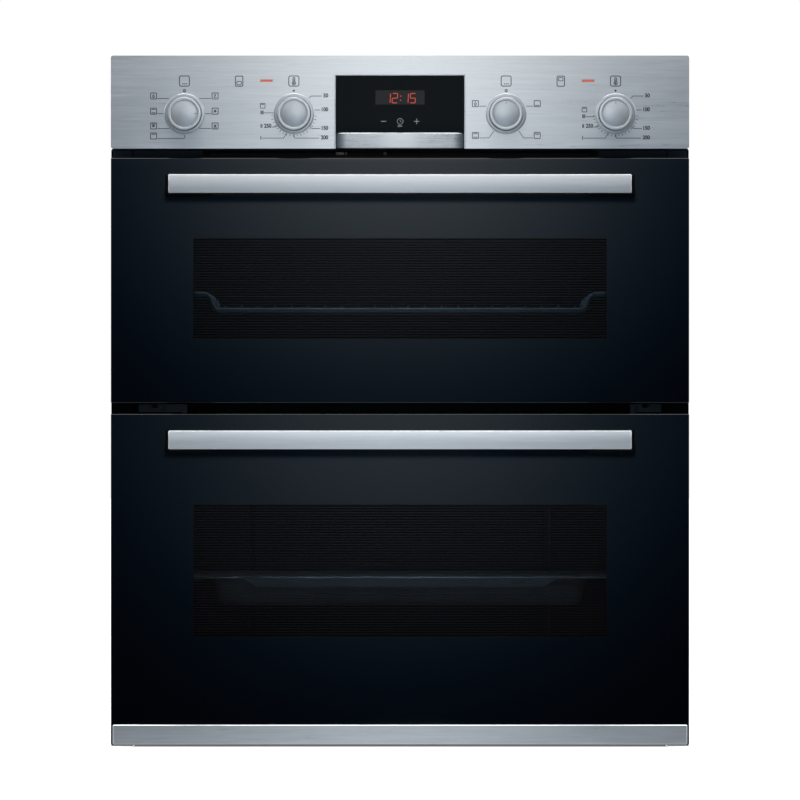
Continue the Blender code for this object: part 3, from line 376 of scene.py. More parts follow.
LED_LIGHT, LED_BODY = (0.54, 0.046, 0.018), (0.04, 0.006, 0.002)
GUIDE_LIGHT = ((0.50, 0.045, 0.014), (0.56, 0.055, 0.018))
GUIDE_BODY = ((0.12, 0.016, 0.006), (0.15, 0.02, 0.008))
GUIDE_REACH = (FRONT_Y - 5 * MM, FRONT_Y + 2 * MM)
M = {
    "brushed_steel": brushed_steel("brushed_steel_panel", (0.66, 0.685, 0.70)),
    "trim_steel": brushed_steel("polished_trim_steel", (0.36, 0.385, 0.40), roughness=0.09, contrast=0.03),
    "galvanised_steel": galvanised_steel(),
    "chromed_wire": chromed_wire(),
    "black_enamel": enamel("black_enamel_satin", (0.0006, 0.0008, 0.0011), 0.2, 0.045),
    "grey_enamel": enamel("grey_enamel", (0.016, 0.018, 0.021)),
    "pan_enamel": enamel("pan_enamel_grey", (0.25, 0.285, 0.312)),
    "hinge_black": enamel("hinge_black_steel", (0.004, 0.0068, 0.0105)),
    "black_plastic": moulded_plastic("black_plastic_satin", (0.012, 0.012, 0.014)),
    "switch_plastic": moulded_plastic("switch_plastic_cream", (0.62, 0.59, 0.52), 0.5, 500),
    "foam": moulded_plastic("black_foam", (0.0012, 0.0012, 0.0014), 0.9, 1500),
    "silver_plastic": silver_paint("silver_paint", (0.46, 0.495, 0.52)),
    "knob_silver": silver_paint("knob_silver_paint", (0.50, 0.54, 0.57), 0.36),
    "rim_silver": silver_paint("rim_silver_paint", (0.55, 0.58, 0.60), 0.34),
    # Zinc darkened for the fixings deep in the air outlet: painted shade.
    "dull_zinc": silver_paint("dull_zinc", (0.10, 0.10, 0.10), 0.45),
    "zinc": silver_paint("zinc_screw", (0.55, 0.55, 0.52), 0.35),
    "pan_lip": silver_paint("pan_lip_steel", (0.44, 0.47, 0.50), 0.22),
    "seal_rubber": seal_braid(),
    "heater_sheath": heater_sheath(),
    "post_black": printed_ink("post_black_plastic", (0.0010, 0.0011, 0.0014), 0.4, 0.10),
    "frit": printed_ink("black_frit", (0.004, 0.004, 0.0045), 0.45, 0.3),
    "label": printed_ink("label_silver", (0.42, 0.43, 0.44)),
    "ink": printed_ink("dark_ink", (0.008, 0.011, 0.014), 0.5, 0.25),
    "pointer_ink": printed_ink("pointer_grey_ink", (0.15, 0.16, 0.17)),
    "display_ink": printed_ink("grey_ink", (0.22, 0.23, 0.24)),
    "led_window": printed_ink("led_window_tint", (0.013, 0.014, 0.015), 0.5, 0.1),
    # Dark blue standing for the bluish reflection on the outlet's black plates: painted reflection.
    "blued": printed_ink("blued_plate", (0.0042, 0.0105, 0.0185), 0.5, 0.05),
    "deflector": printed_ink("deflector_black", (0.0022, 0.0024, 0.003), 0.6, 0.15),
    "orange_lens": glowing("orange_light_guide", GUIDE_LIGHT, GUIDE_BODY, GUIDE_REACH),
    "led": glowing("led_orange", (scaled(LED_LIGHT, 0.88), LED_LIGHT), (scaled(LED_BODY, 0.9), LED_BODY)),
    "clear_glass": clear_glass(),
    "display_glass": display_glass(),
    "top_glass": door_glass("top"),
    "main_glass": door_glass("main"),
}


def paint_cad_nodes():
    """Every CAD node takes the finish of its slot."""
    slots = {row["node"]: row["material_slot"] for row in frame["record"]["subparts"]}
    for name, obj in frame["nodes"].items():
        slot = slots[name]
        finish = M[name.replace("_outer", "")] if name.endswith("outer_glass") else M[slot]
        if name.endswith("hinge_arm") or name in ("convection_fan", "fan_baffle"):
            finish = M["hinge_black"]
        for place in obj.material_slots:
            place.link = "OBJECT"
            place.material = finish
        if not obj.material_slots:
            obj.data.materials.append(finish)


paint_cad_nodes()


# ------------------------------------------------------------------ mesh helpers


def to_mesh(shape, name, smooth):
    """A bmesh as a mesh, smooth but for edges sharper than smooth degrees."""
    bmesh.ops.recalc_face_normals(shape, faces=shape.faces)
    mesh = bpy.data.meshes.new(name)
    shape.to_mesh(mesh)
    shape.free()
    mesh.shade_smooth()
    mesh.set_sharp_from_angle(angle=math.radians(smooth))
    return mesh


def piece(name, shape, finish, body, stands_for=(), smooth=35):
    """A new piece of the oven, in the oven's frame, that rides on a body."""
    mesh = to_mesh(shape, name, smooth)
    mesh.materials.append(M[finish])
    obj = put_in_scene(name, mesh)
    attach(obj, body)
    if stands_for:
        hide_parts(*stands_for)
    return obj


def crisp(obj):
    """Keeps large flat faces flat beside their rounded edges."""
    obj.modifiers.new("crisp", "WEIGHTED_NORMAL").keep_sharp = True


def about(middle, half):
    return (middle - half, middle + half)


def mirrored(sign, near, far):
    """The span from near to far, on the side that sign says."""
    return sorted((sign * near, sign * far))


def in_mm(*points):
    """Points given in millimetres."""
    return [tuple(number * MM for number in point) for point in points]


def skin(shape, rings, first=True, last=True, cyclic=False):
    """Adds faces between rings of points, and over the first and the last ring where asked."""
    rings = [[shape.verts.new(point) for point in ring] for ring in rings]
    pairs = list(zip(rings, rings[1:])) + ([(rings[-1], rings[0])] if cyclic else [])
    for low, high in pairs:
        for step in range(max(len(low), len(high))):
            corners = [ring[number % len(ring)] for ring, number in (
                (low, step), (low, step + 1), (high, step + 1), (high, step),
            )]
            unique = list(dict.fromkeys(corners))
            if len(unique) > 2:
                shape.faces.new(unique)
    if first:
        shape.faces.new(rings[0])
    if last:
        shape.faces.new(rings[-1][::-1])
    return shape


def add_box(shape, x, y, z, bevel=0.0, segments=3):
    """Adds a box over three (low, high) ranges, its edges rounded."""
    made = bmesh.ops.create_cube(shape, size=1)["verts"]
    for vert in made:
        for axis, span in enumerate((x, y, z)):
            vert.co[axis] = (span[0] + span[1]) / 2 + vert.co[axis] * (span[1] - span[0])
    if bevel:
        edges = {edge for vert in made for edge in vert.link_edges}
        bmesh.ops.bevel(shape, geom=list(edges), offset=bevel, segments=segments, profile=0.5, affect="EDGES")
    return shape


def add_lathe(shape, profile, centre, direction=(0, -1, 0), steps=96, cyclic=False):
    """Adds a profile of (radius, height) turned about an axis through centre along direction."""
    turn = Vector((0, 0, 1)).rotation_difference(Vector(direction)).to_matrix()
    angles = [2 * math.pi * step / steps for step in range(steps)]
    rings = []
    for radius, height in profile:
        ring = [(radius * math.cos(angle), radius * math.sin(angle), height) for angle in angles]
        if radius < 1e-7:
            ring = [(0, 0, height)]
        rings.append([Vector(centre) + turn @ Vector(point) for point in ring])
    return skin(shape, rings, first=False, last=False, cyclic=cyclic)


def arc(centre, radius, start, end, steps):
    """Points on an arc in a plane, angles in degrees."""
    angles = [math.radians(start + (end - start) * step / steps) for step in range(steps + 1)]
    return [(centre[0] + radius * math.cos(a), centre[1] + radius * math.sin(a)) for a in angles]


def about_box(low, high):
    """The middle of a box, seen from the front."""
    return (low.x + high.x) / 2, (low.z + high.z) / 2


def round_corners(x, y, corner, steps):
    """A rectangle with round corners, over two spans."""
    points = []
    for cx, cy, start in (
        (x[1] - corner, y[1] - corner, 0), (x[0] + corner, y[1] - corner, 90),
        (x[0] + corner, y[0] + corner, 180), (x[1] - corner, y[0] + corner, 270),
    ):
        points += arc((cx, cy), corner, start, start + 90, steps)
    return points


def filleted(points, radius, steps=6):
    """A path with its corners rounded."""
    points = [Vector(point) for point in points]
    made = [points[0]]
    for before, corner, after in zip(points, points[1:], points[2:]):
        back, ahead = before - corner, after - corner
        reach = min(radius, back.length * 0.49, ahead.length * 0.49)
        start, end = corner + back.normalized() * reach, corner + ahead.normalized() * reach
        for step in range(steps + 1):
            share = step / steps
            made.append(start.lerp(corner, share).lerp(corner.lerp(end, share), share))
    made.append(points[-1])
    return made


def directions(path):
    """The way a path runs at each of its points."""
    end = len(path) - 1
    return [(path[min(number + 1, end)] - path[max(number - 1, 0)]).normalized() for number in range(end + 1)]


def add_tube(shape, path, radius, sides=12):
    """Adds a round tube along a path, with flat ends."""
    path = [Vector(point) for point in path]
    circle = arc((0, 0), radius, 0, 360 - 360 / sides, sides - 1)
    rings, normal = [], directions(path)[0].orthogonal()
    for point, along in zip(path, directions(path)):
        normal = (normal - along * normal.dot(along)).normalized()
        across = along.cross(normal)
        rings.append([point + normal * u + across * v for u, v in circle])
    return skin(shape, rings)


class Ink:
    """Thin printed marks on a plane that faces -Y. Points are (x, z)."""

    THICKNESS = 0.06 * MM

    def __init__(self, y):
        self.shape = bmesh.new()
        self.y = y
        self.layer = 0

    def face(self, points):
        """A filled outline as a thin closed slab. Each one lies a hair's breadth over the last."""
        self.layer = (self.layer + 1) % 8
        top = self.y - self.THICKNESS - self.layer * 0.002 * MM
        fronts = [self.shape.verts.new((x, top, z)) for x, z in points]
        backs = [self.shape.verts.new((x, self.y + 0.02 * MM, z)) for x, z in points]
        self.shape.faces.new(fronts)
        self.shape.faces.new(backs[::-1])
        for number in range(len(points)):
            after = (number + 1) % len(points)
            self.shape.faces.new((fronts[number], backs[number], backs[after], fronts[after]))

    def stroke(self, points, width, closed=False):
        """A line of a given width along points."""
        count = len(points)
        for number in range(count if closed else count - 1):
            start, end = Vector(points[number]), Vector(points[(number + 1) % count])
            along = (end - start).normalized() * width / 2
            side = Vector((-along.y, along.x))
            start, end = start - along * 0.9, end + along * 0.9
            self.face([start + side, end + side, end - side, start - side])

    def ring(self, centre, radius, width, steps=24):
        points = arc(centre, radius, 0, 360 - 360 / steps, steps - 1)
        self.stroke(points, width, closed=True)

    def disc(self, centre, radius, steps=16):
        self.face(arc(centre, radius, 0, 360 - 360 / steps, steps - 1))

    def frame_of(self, centre, width, height, corner, line):
        """A rectangle's outline with round corners."""
        x, z = centre
        w, h = width / 2 - corner, height / 2 - corner
        points = []
        for cx, cz, start in ((w, h, 0), (-w, h, 90), (-w, -h, 180), (w, -h, 270)):
            points += arc((x + cx, z + cz), corner, start, start + 90, 3)
        self.stroke(points, line, closed=True)

    def text(self, words, place, height, align="LEFT"):
        """Digits in the built-in font, standing on the line through place."""
        curve = bpy.data.curves.new("digits", "FONT")
        curve.body = words
        curve.size = height * 1.38
        curve.align_x = align
        curve.extrude = self.THICKNESS / 2
        curve.offset = 0.20 * MM
        obj = put_in_scene("digits", curve)
        bpy.context.view_layer.update()
        mesh = bpy.data.meshes.new_from_object(obj.evaluated_get(bpy.context.evaluated_depsgraph_get()))
        stand = Matrix.Translation((place[0], self.y - self.THICKNESS / 2, place[1]))
        stand = stand @ Matrix.Rotation(math.radians(90), 4, "X")
        mesh.transform(stand @ Matrix.Diagonal((0.9, 1, 1, 1)))
        self.shape.from_mesh(mesh)
        bpy.data.objects.remove(obj)
        bpy.data.meshes.remove(mesh)

    def piece(self, name, finish, slot):
        """All marks so far, as a piece that rides on the body."""
        bmesh.ops.remove_doubles(self.shape, verts=self.shape.verts, dist=1e-7)
        piece(name, self.shape, finish, "body")


def around(centre, x, z):
    return (centre[0] + x * MM, centre[1] + z * MM)


# ------------------------------------------------------------------ dials


KNOB_EDGE = 16.95 * MM
RIM_INNER = 14.15 * MM


def make_bezel(name, centre):
    """The ring around a knob: a shallow cone with a rolled inner lip and a soft outer edge."""
    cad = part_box(f"{name}_bezel")
    outer, bore = (cad[1].x - cad[0].x) / 2, KNOB_EDGE + 0.6 * MM
    proud, depth = FRONT_Y - cad[0].y, cad[1].y - FRONT_Y
    profile = [(bore, -depth), (bore, proud - 0.7 * MM)]
    profile += arc((bore + 0.3 * MM, proud - 0.7 * MM), 0.3 * MM, 180, 100, 4)
    profile += arc((outer - 0.8 * MM, proud - 1.75 * MM), 0.8 * MM, 80, 0, 8)
    profile += [(outer, 0.05 * MM), (outer - 1.3 * MM, 0.05 * MM), (outer - 1.5 * MM, -depth)]
    shape = add_lathe(bmesh.new(), profile, centre, cyclic=True)
    piece(f"{name}_ring", shape, "silver_plastic", "body", [f"{name}_bezel"])


def make_knob(name, centre):
    """A hollow cap with a gently domed face, and a lighter ring let into its edge."""
    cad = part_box(f"{name}_knob")
    proud, back = FRONT_Y - cad[0].y, cad[1].y - FRONT_Y
    dome, seat, wall = 1.6 * MM, proud - 2.4 * MM, KNOB_EDGE - 1.4 * MM
    face = RIM_INNER - 0.5 * MM

    def face_at(distance):
        return proud - 0.1 * MM - dome * (distance / face) ** 2

    profile = [(face * share, face_at(face * share)) for share in (0, 0.15, 0.3, 0.45, 0.6, 0.75, 0.88)]
    profile += arc((face - 0.2 * MM, face_at(face) - 0.2 * MM), 0.2 * MM, 84, 0, 3)
    profile += [
        (face, seat), (KNOB_EDGE, seat), (KNOB_EDGE, -0.8 * MM), (KNOB_EDGE - 0.2 * MM, -1 * MM),
        (wall, -1 * MM), (wall, 10 * MM), (6.5 * MM, 10 * MM), (6.5 * MM, -back), (3.5 * MM, -back),
        (3.5 * MM, 12.8 * MM), (0, 12.8 * MM),
    ]
    body = f"{name}_knob"
    shape = add_lathe(bmesh.new(), profile, centre)
    piece(f"{name}_cap", shape, "knob_silver", body, [f"{name}_knob"])
    rim = [(RIM_INNER, seat + 0.05 * MM)]
    rim += arc((RIM_INNER + 0.25 * MM, proud - 0.6 * MM), 0.25 * MM, 180, 100, 4)
    rim += arc((KNOB_EDGE - 0.5 * MM, proud - 1.1 * MM), 0.5 * MM, 80, 0, 6)
    rim += [(KNOB_EDGE, seat + 0.05 * MM)]
    shape = add_lathe(bmesh.new(), rim, centre, cyclic=True)
    piece(f"{name}_rim", shape, "rim_silver", body)
    line = bmesh.new()
    for number in range(3):
        low, high = (9.6 + 1.3 * number) * MM, (9.6 + 1.3 * (number + 1)) * MM
        y = centre.y - face_at((low + high) / 2)
        add_box(line, about(centre.x, 0.3 * MM), about(y, 0.08 * MM), (centre.z + low, centre.z + high))
    line.transform(turned_about(centre, DIAL_TURNS[name]))
    piece(f"{name}_pointer", line, "pointer_ink", body)


def turned_about(centre, degrees):
    turn = Matrix.Rotation(math.radians(degrees), 4, "Y")
    return Matrix.Translation(centre) @ turn @ Matrix.Translation(-centre)


for name, centre in DIAL_CENTRES.items():
    make_bezel(name, centre)
    make_knob(name, centre)


# ------------------------------------------------------------------ printed marks on the panel

LINE = 0.72 * MM
PILOT_HALF = 6.1 * MM
ICON = 6.2 * MM


def draw(ink, centre, *points, width=0.8):
    """A line through points, in millimetres from centre. width is its share of LINE."""
    ink.stroke([around(centre, *point) for point in points], LINE * width)


def oven_square(ink, centre):
    ink.frame_of(centre, ICON, ICON, 0.7 * MM, LINE)


def lamp_icon(ink, centre):
    oven_square(ink, centre)
    ink.ring(around(centre, 0, -0.3), 1.1 * MM, LINE * 0.8, 12)
    draw(ink, centre, (-0.5, -1.9), (0.5, -1.9))
    draw(ink, centre, (0, 1.4), (0, 2.1))


def heat_icon(ink, centre, top=True, bottom=True):
    oven_square(ink, centre)
    if top:
        draw(ink, centre, (-1.7, 1.8), (1.7, 1.8), width=1)
    if bottom:
        draw(ink, centre, (-1.7, -1.8), (1.7, -1.8), width=1)


def grill_icon(ink, centre):
    oven_square(ink, centre)
    draw(ink, centre, *((-2.0 + 0.67 * step, 1.9 - (step % 2) * 0.9) for step in range(7)))


def fan_icon(ink, centre, bar=0):
    oven_square(ink, centre)
    for turn in range(4):
        angle = math.radians(45 + 90 * turn)
        tip = (math.sin(angle) * 1.5, math.cos(angle) * 1.5 + 0.1)
        side = (math.sin(angle + 0.9) * 1.0, math.cos(angle + 0.9) * 1.0 + 0.1)
        draw(ink, centre, (0, 0.1), tip, side, width=0.7)
    if bar:
        draw(ink, centre, (-1.7, 2.0 * bar), (1.7, 2.0 * bar))


def thaw_icon(ink, centre):
    oven_square(ink, centre)
    draw(ink, centre, (-1.2, 1.5), (0.6, 1.5), (0.6, 0.1), (-0.8, 0.1), (-0.8, -1.5), (1.3, -1.5))


def function_sign(ink, centre):
    """The sign over a function dial: a rounded square with three dots."""
    ink.frame_of(centre, 10.2 * MM, 10.4 * MM, 1.7 * MM, LINE * 1.1)
    for number in range(3):
        ink.disc(around(centre, -1.6 + 1.9 * number, -2.9), 0.62 * MM, 10)


def thermometer_sign(ink, centre):
    ink.frame_of(centre, 10.4 * MM, 10.4 * MM, 1.7 * MM, LINE * 1.1)
    stem = arc(around(centre, 0, 2.6), 0.95 * MM, 0, 180, 6)
    bulb = arc(around(centre, 0, -2.2), 1.7 * MM, 125, 415, 14)
    ink.stroke(stem + bulb, LINE, closed=True)
    draw(ink, centre, (0, 1.6), (0, -1.4))
    ink.disc(around(centre, 0, -2.2), 0.85 * MM, 12)


def compartment_sign(ink, centre, lower):
    """The sign for the upper or the lower oven."""
    ink.frame_of(centre, 7.6 * MM, 10.4 * MM, 1.3 * MM, LINE * 1.1)
    ink.frame_of(around(centre, 0, -2.0 if lower else 2.0), 4.6 * MM, 3.4 * MM, 1.0 * MM, LINE * 0.9)


def mark_function_dial(ink, centre, left, right):
    """The ring of signs around a function dial: (sign, height) lists, and leader lines to the dial."""
    at = (centre.x, centre.z)
    function_sign(ink, around(at, 0, 33.6))
    ink.ring(around(at, 0, 23.7), 1.1 * MM, LINE * 1.1, 16)
    for sign, x, z, reach in left + right:
        sign(ink, around(at, x, z))
        start = x + math.copysign(4.4, -x)
        draw(ink, at, (start, z - 2.6), *reach)


def main_function_marks(ink):
    centre = DIAL_CENTRES["main_function"]
    left = [
        (lamp_icon, -31.7, 18.3, [(-16.0, 15.7)]),
        (heat_icon, -31.7, 2.7, [(-21.9, 0.1)]),
        (lambda i, c: fan_icon(i, c, 1), -31.7, -12.5, [(-15.4, -15.1)]),
        (lambda i, c: heat_icon(i, c, True, False), -31.7, -22.8, [(-0.6, -25.4), (0.4, -24.4), (0.4, -21.9)]),
    ]
    right = [
        (thaw_icon, 31.5, 18.3, [(15.4, 15.7)]),
        (fan_icon, 31.5, 2.7, [(21.6, 0.1)]),
        (lambda i, c: fan_icon(i, c, -1), 31.5, -12.5, [(15.4, -15.1)]),
    ]
    mark_function_dial(ink, centre, left, right)


def top_function_marks(ink):
    centre = DIAL_CENTRES["top_function"]
    left = [
        (lamp_icon, -31.6, 10.4, [(-20.6, 7.8)]),
        (heat_icon, -31.6, -22.2, [(-17.6, -24.8), (-12.6, -17.8)]),
    ]
    right = [
        (lambda i, c: heat_icon(i, c, False, True), 31.9, 10.4, [(20.8, 7.8)]),
        (grill_icon, 31.9, -22.2, [(18.0, -24.8), (13.0, -17.8)]),
    ]
    mark_function_dial(ink, centre, left, right)


def temperature_marks(ink, centre, grill_drop):
    """The numbers, grill steps and tick marks around a thermostat's dial."""
    at = (centre.x, centre.z)
    thermometer_sign(ink, around(at, 0, 33.6))
    ink.disc(around(at, 0, 23.7), 1.05 * MM)
    digit = 4.0 * MM
    for words, z, line in (
        ("50", 17.0, [(28.2, 18.2), (17.8, 18.2), (15.8, 16.2)]),
        ("100", 2.7, [(26.6, 3.9), (21.6, 3.9)]),
        ("150", -16.4, [(26.7, -15.2), (18.4, -15.2), (16.6, -13.0)]),
        ("200", -26.1, [(25.8, -25.0), (0.9, -25.0), (0.2, -23.4), (0.2, -20.6)]),
    ):
        ink.text(words, around(at, 35.2, z), digit, "RIGHT")
        draw(ink, at, *line)
    ink.text("III", around(at, -34.4, -0.3 - grill_drop), 3.6 * MM)
    draw(ink, at, (-30.7, 0.9 - grill_drop), (-21.3, 0.9 - grill_drop))
    square = around(at, -32.0, 8.2 - grill_drop)
    ink.frame_of(square, 4.8 * MM, 4.8 * MM, 0.6 * MM, LINE * 0.9)
    draw(ink, square, (-1.3, 1.3), (1.3, 1.3), width=0.9)
    ink.text("II", around(at, -34.4, -14.2), 3.6 * MM)
    ink.text("250", around(at, -30.6, -14.2), digit)
    draw(ink, at, (-22.6, -13.6), (-19.0, -13.6), (-17.2, -12.3))
    ink.text("I", around(at, -34.4, -26.4), 3.6 * MM)
    draw(ink, at, (-32.4, -25.0), (-10.4, -25.0), (-7.6, -19.4))
    for step in range(19):
        angle = math.radians(96 + 9.4 * step)
        inner, outer = (21.9 * MM, 23.6 * MM) if step % 2 else (21.9 * MM, 23.0 * MM)
        ends = [(at[0] + r * math.sin(angle), at[1] + r * math.cos(angle)) for r in (inner, outer)]
        ink.stroke(ends, LINE * 0.7)


def panel_marks():
    ink = Ink(FRONT_Y)
    main_function_marks(ink)
    top_function_marks(ink)
    temperature_marks(ink, DIAL_CENTRES["main_temperature"], 0.0)
    temperature_marks(ink, DIAL_CENTRES["top_temperature"], 3.9)
    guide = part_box("pilot_light_guide")
    for oven, x in (("main", guide[0].x + PILOT_HALF), ("top", guide[1].x - PILOT_HALF)):
        compartment_sign(ink, (x - 28.1 * MM, guide[0].z + 0.2 * MM), oven == "main")
    ink.piece("panel_marks", "ink", "brushed_steel")


panel_marks()


# ------------------------------------------------------------------ display


SEGMENTS = {"1": "bc", "2": "abged", "5": "afgcd"}


# Where a digit's segments run, as shares of its width and height.
BARS = {
    "a": ((0, 1), (1, 1)), "b": ((1, 0.5), (1, 1)), "c": ((1, 0), (1, 0.5)), "d": ((0, 0), (1, 0)),
    "e": ((0, 0), (0, 0.5)), "f": ((0, 0.5), (0, 1)), "g": ((0, 0.5), (1, 0.5)),
}


def digit(ink, sign, x, z, width, height, line, slant=0.06):
    """A seven-segment digit whose lower left corner is at (x, z)."""
    for segment in SEGMENTS[sign]:
        ends = [Vector((x + u * width + v * height * slant, z + v * height)) for u, v in BARS[segment]]
        along = (ends[1] - ends[0]).normalized() * line
        side = Vector((-along.y, along.x)) / 2
        start, end = ends[0] + along * 0.3, ends[1] - along * 0.3
        tips = (start - along * 0.25, start + side, end + side, end + along * 0.25, end - side, start - side)
        ink.face([(tip.x, tip.y) for tip in tips])


def make_display():
    """The window over the clock's digits, the digits, and the touch signs under them."""
    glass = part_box("display_window")
    face, top = glass[0].y, glass[1].z
    span = (top - 29.2 * MM, top - 14.7 * MM)
    window = add_box(bmesh.new(), about(0, 25.2 * MM), (face - 0.05 * MM, face + 0.2 * MM), span, 0.02 * MM, 1)
    piece("digit_window", window, "led_window", "body")
    lit = Ink(face - 0.06 * MM)
    low, height, width, line = top - 27.5 * MM, 9.7 * MM, 5.2 * MM, 0.8 * MM
    for sign, x in (("1", -15.4), ("2", -8.1), ("1", 3.0), ("5", 10.3)):
        digit(lit, sign, x * MM, low, width, height, line)
    for share in (0.28, 0.72):
        lit.face(arc((0.5 * MM + share * 0.4 * MM, low + height * share), 0.62 * MM, 0, 330, 11))
    lit.piece("clock_digits", "led", "orange_lens")
    signs = Ink(face)
    row = (0, top - 46.4 * MM)

    def line_of(width, *points):
        signs.stroke([around(row, *point) for point in points], width * MM)

    line_of(0.55, (-19.4, 0), (-14.2, 0))
    line_of(0.55, (14.6, 0), (19.6, 0))
    line_of(0.55, (17.1, -2.5), (17.1, 2.5))
    signs.ring(around(row, 0.2, 0), 3.0 * MM, 0.4 * MM)
    line_of(0.4, (0.2, 1.7), (0.2, 0), (1.5, -0.4))
    signs.ring(around(row, -1.1, -4.9), 0.9 * MM, 0.35 * MM, 12)
    line_of(0.7, (0.2, -4.9), (1.9, -4.9))
    signs.piece("touch_signs", "display_ink", "display_glass")


def make_display_surround():
    """The folded edge of the panel around the display, open at the bottom."""
    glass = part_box("display_window")
    half, top, bottom = glass[1].x, glass[1].z, FASCIA[0].z + 0.1 * MM
    # Millimetres out from the glass and back from the panel: a rounded shoulder, then the wall.
    steps = (
        (2.1, -0.10), (1.9, -0.16), (1.3, -0.12), (0.8, 0.25), (0.45, 0.8), (0.35, 1.6), (0.9, 1.6), (2.1, 0.3),
    )
    corners = ((-half, bottom, -1, 0), (-half, top, -1, 1), (half, top, 1, 1), (half, bottom, 1, 0))
    rings = []
    for x, z, right, up in corners:
        ring = [(x + right * grow * MM, FRONT_Y + sink * MM, z + up * grow * MM) for grow, sink in steps]
        rings.append(ring)
    shape = skin(bmesh.new(), rings)
    piece("display_surround", shape, "brushed_steel", "body", smooth=50)


def make_display_trim():
    """The steel bar under the display, bowed a little outwards, with bevelled edges."""
    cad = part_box("display_trim")
    half, low, high = cad[1].x - 0.1 * MM, cad[0].z, cad[1].z
    front, back = cad[0].y, cad[1].y
    edge, bow, count = 0.9 * MM, 0.6 * MM, 24
    rings = []
    for number in range(count + 1):
        share = 2 * number / count - 1
        x = share * half
        face = front + bow * abs(share) ** 3 + max(0.0, abs(x) - (half - edge)) / edge * 0.8 * MM
        rings.append([
            (x, face + edge, low), (x, face, low + edge), (x, face, high - edge), (x, face + edge, high),
            (x, back, high), (x, back, low),
        ])
    shape = skin(bmesh.new(), rings)
    piece("display_trim_bar", shape, "trim_steel", "body", ["display_trim"], 20)


make_display()
make_display_surround()
make_display_trim()


# ------------------------------------------------------------------ handles


def make_handle_bar(door):
    """The handle's bar: a slightly crowned face, rounded edges and finely chamfered ends."""
    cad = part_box(f"{door}_handle_bar")
    half = cad[1].x - 1.1 * MM
    front, back, sag = cad[0].y, cad[1].y, HANDLE_SAG[door]
    low, high = cad[0].z + 0.2 * MM - sag, cad[1].z - 0.2 * MM - sag
    middle, tall, crown, corner = (low + high) / 2, (high - low) / 2, 0.85 * MM, 1.0 * MM
    shares = [1 - 2 * step / 12 for step in range(13)]
    outline = [(front + crown * share**2, middle + share * (tall - corner)) for share in shares]
    edge, rear = front + crown + corner, back - corner
    for y, z, start in (
        (edge, low + corner, 180), (rear, low + corner, 270),
        (rear, high - corner, 0), (edge, high - corner, 90),
    ):
        outline += arc((y, z), corner, start + 15, start + 75, 3)
    rings = []
    for x, shrink in ((-half, 0.5 * MM), (-half + 0.4 * MM, 0), (half - 0.4 * MM, 0), (half, 0.5 * MM)):
        ring = []
        for y, z in outline:
            pull = Vector(((front + back) / 2 - y, middle - z)).normalized() * shrink
            ring.append((x, y + pull.x, z + pull.y))
        rings.append(ring)
    shape, finish = skin(bmesh.new(), rings), f"{door}_handle_steel"
    piece(f"{door}_handle_grip", shape, finish, f"{door}_door", [f"{door}_handle_bar"])


def make_handle_post(door, side):
    """A moulded post between the bar and the glass: a full foot, a slimmer waist and rounded edges."""
    name = f"{door}_{side}_handle_post"
    low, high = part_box(name)
    x, z = about_box(low, high)
    width, tall, depth = (high.x - low.x) / 2, (high.z - low.z) / 2, high.y - low.y
    # Each section: its share of the way from the glass, and how many millimetres slimmer it is.
    sections = ((0, 1.2), (0.02, 0.5), (0.05, 0), (0.2, 0.1), (0.45, 2.2), (0.7, 2.6), (0.93, 1.6), (1, 2.2))
    rings = []
    for share, shrink in sections:
        w, h, y = width - shrink * MM, tall - shrink * MM, high.y - share * depth
        outline = round_corners(about(x, w), about(z, h), 2.5 * MM, 4)
        rings.append([(px, y, pz) for px, pz in outline])
    shape = skin(bmesh.new(), rings)
    piece(f"{name}_moulding", shape, "post_black", f"{door}_door", [name])


HANDLE_SAG = {"top": 0.7 * MM, "main": 0.1 * MM}
# Both handles are the same steel, but the main door's is given a much lighter colour than the top door's to
# make up for the light it gets less of: painted light.
for door, colour in (("top", (0.63, 0.65, 0.665)), ("main", (0.79, 0.815, 0.83))):
    M[f"{door}_handle_steel"] = brushed_steel(f"{door}_handle_steel_with_painted_light", colour, 0.4, 0.06)
    make_handle_bar(door)
    for side, _ in SIDES:
        make_handle_post(door, side)


# ------------------------------------------------------------------ doors and the gaps around them


def make_door_pane(door):
    """The outer pane, with ground edges that catch the light."""
    low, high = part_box(f"{door}_outer_glass")
    shape = add_box(bmesh.new(), *zip(low, high), 1.1 * MM, 4)
    name, stands_for = f"{door}_door_pane", [f"{door}_outer_glass"]
    crisp(piece(name, shape, f"{door}_glass", f"{door}_door", stands_for, 50))


def make_panel_gasket():
    """The foam strip between the control panel and the frame below it."""
    frame_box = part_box("front_frame")
    front, under = frame_box[0].y - 0.6 * MM, FASCIA[0].z
    edges = about(0, frame_box[1].x - 0.7 * MM)
    shape = bmesh.new()
    for near, far, drop in ((0, 0.55, 1.9), (0.5, 2.2, 0.95)):
        span = (under - drop * MM, under - 0.05 * MM)
        add_box(shape, edges, (front + near * MM, front + far * MM), span, 0.1 * MM, 2)
    crisp(piece("panel_gasket", shape, "foam", "body"))


def add_pan_screw(shape, place, radius, direction):
    """A pan-head screw with a cross recess, its seat at place."""
    profile = ((0, 0.55), (0.45, 0.53), (0.8, 0.40), (1, 0.12), (1, 0), (0, 0))
    add_lathe(shape, [(r * radius, height * radius) for r, height in profile], place, direction, 20)
    turn = Vector((0, 0, 1)).rotation_difference(Vector(direction)).to_matrix().to_4x4()
    for angle in (45, 135):
        across, wide, tall = about(0, 0.5 * radius), about(0, 0.09 * radius), (0.5 * radius, 0.56 * radius)
        slot = add_box(bmesh.new(), across, wide, tall)
        slot.transform(Matrix.Translation(place) @ turn @ Matrix.Rotation(math.radians(angle), 4, "Z"))
        mesh = bpy.data.meshes.new("slot")
        slot.to_mesh(mesh)
        slot.free()
        shape.from_mesh(mesh)
        bpy.data.meshes.remove(mesh)


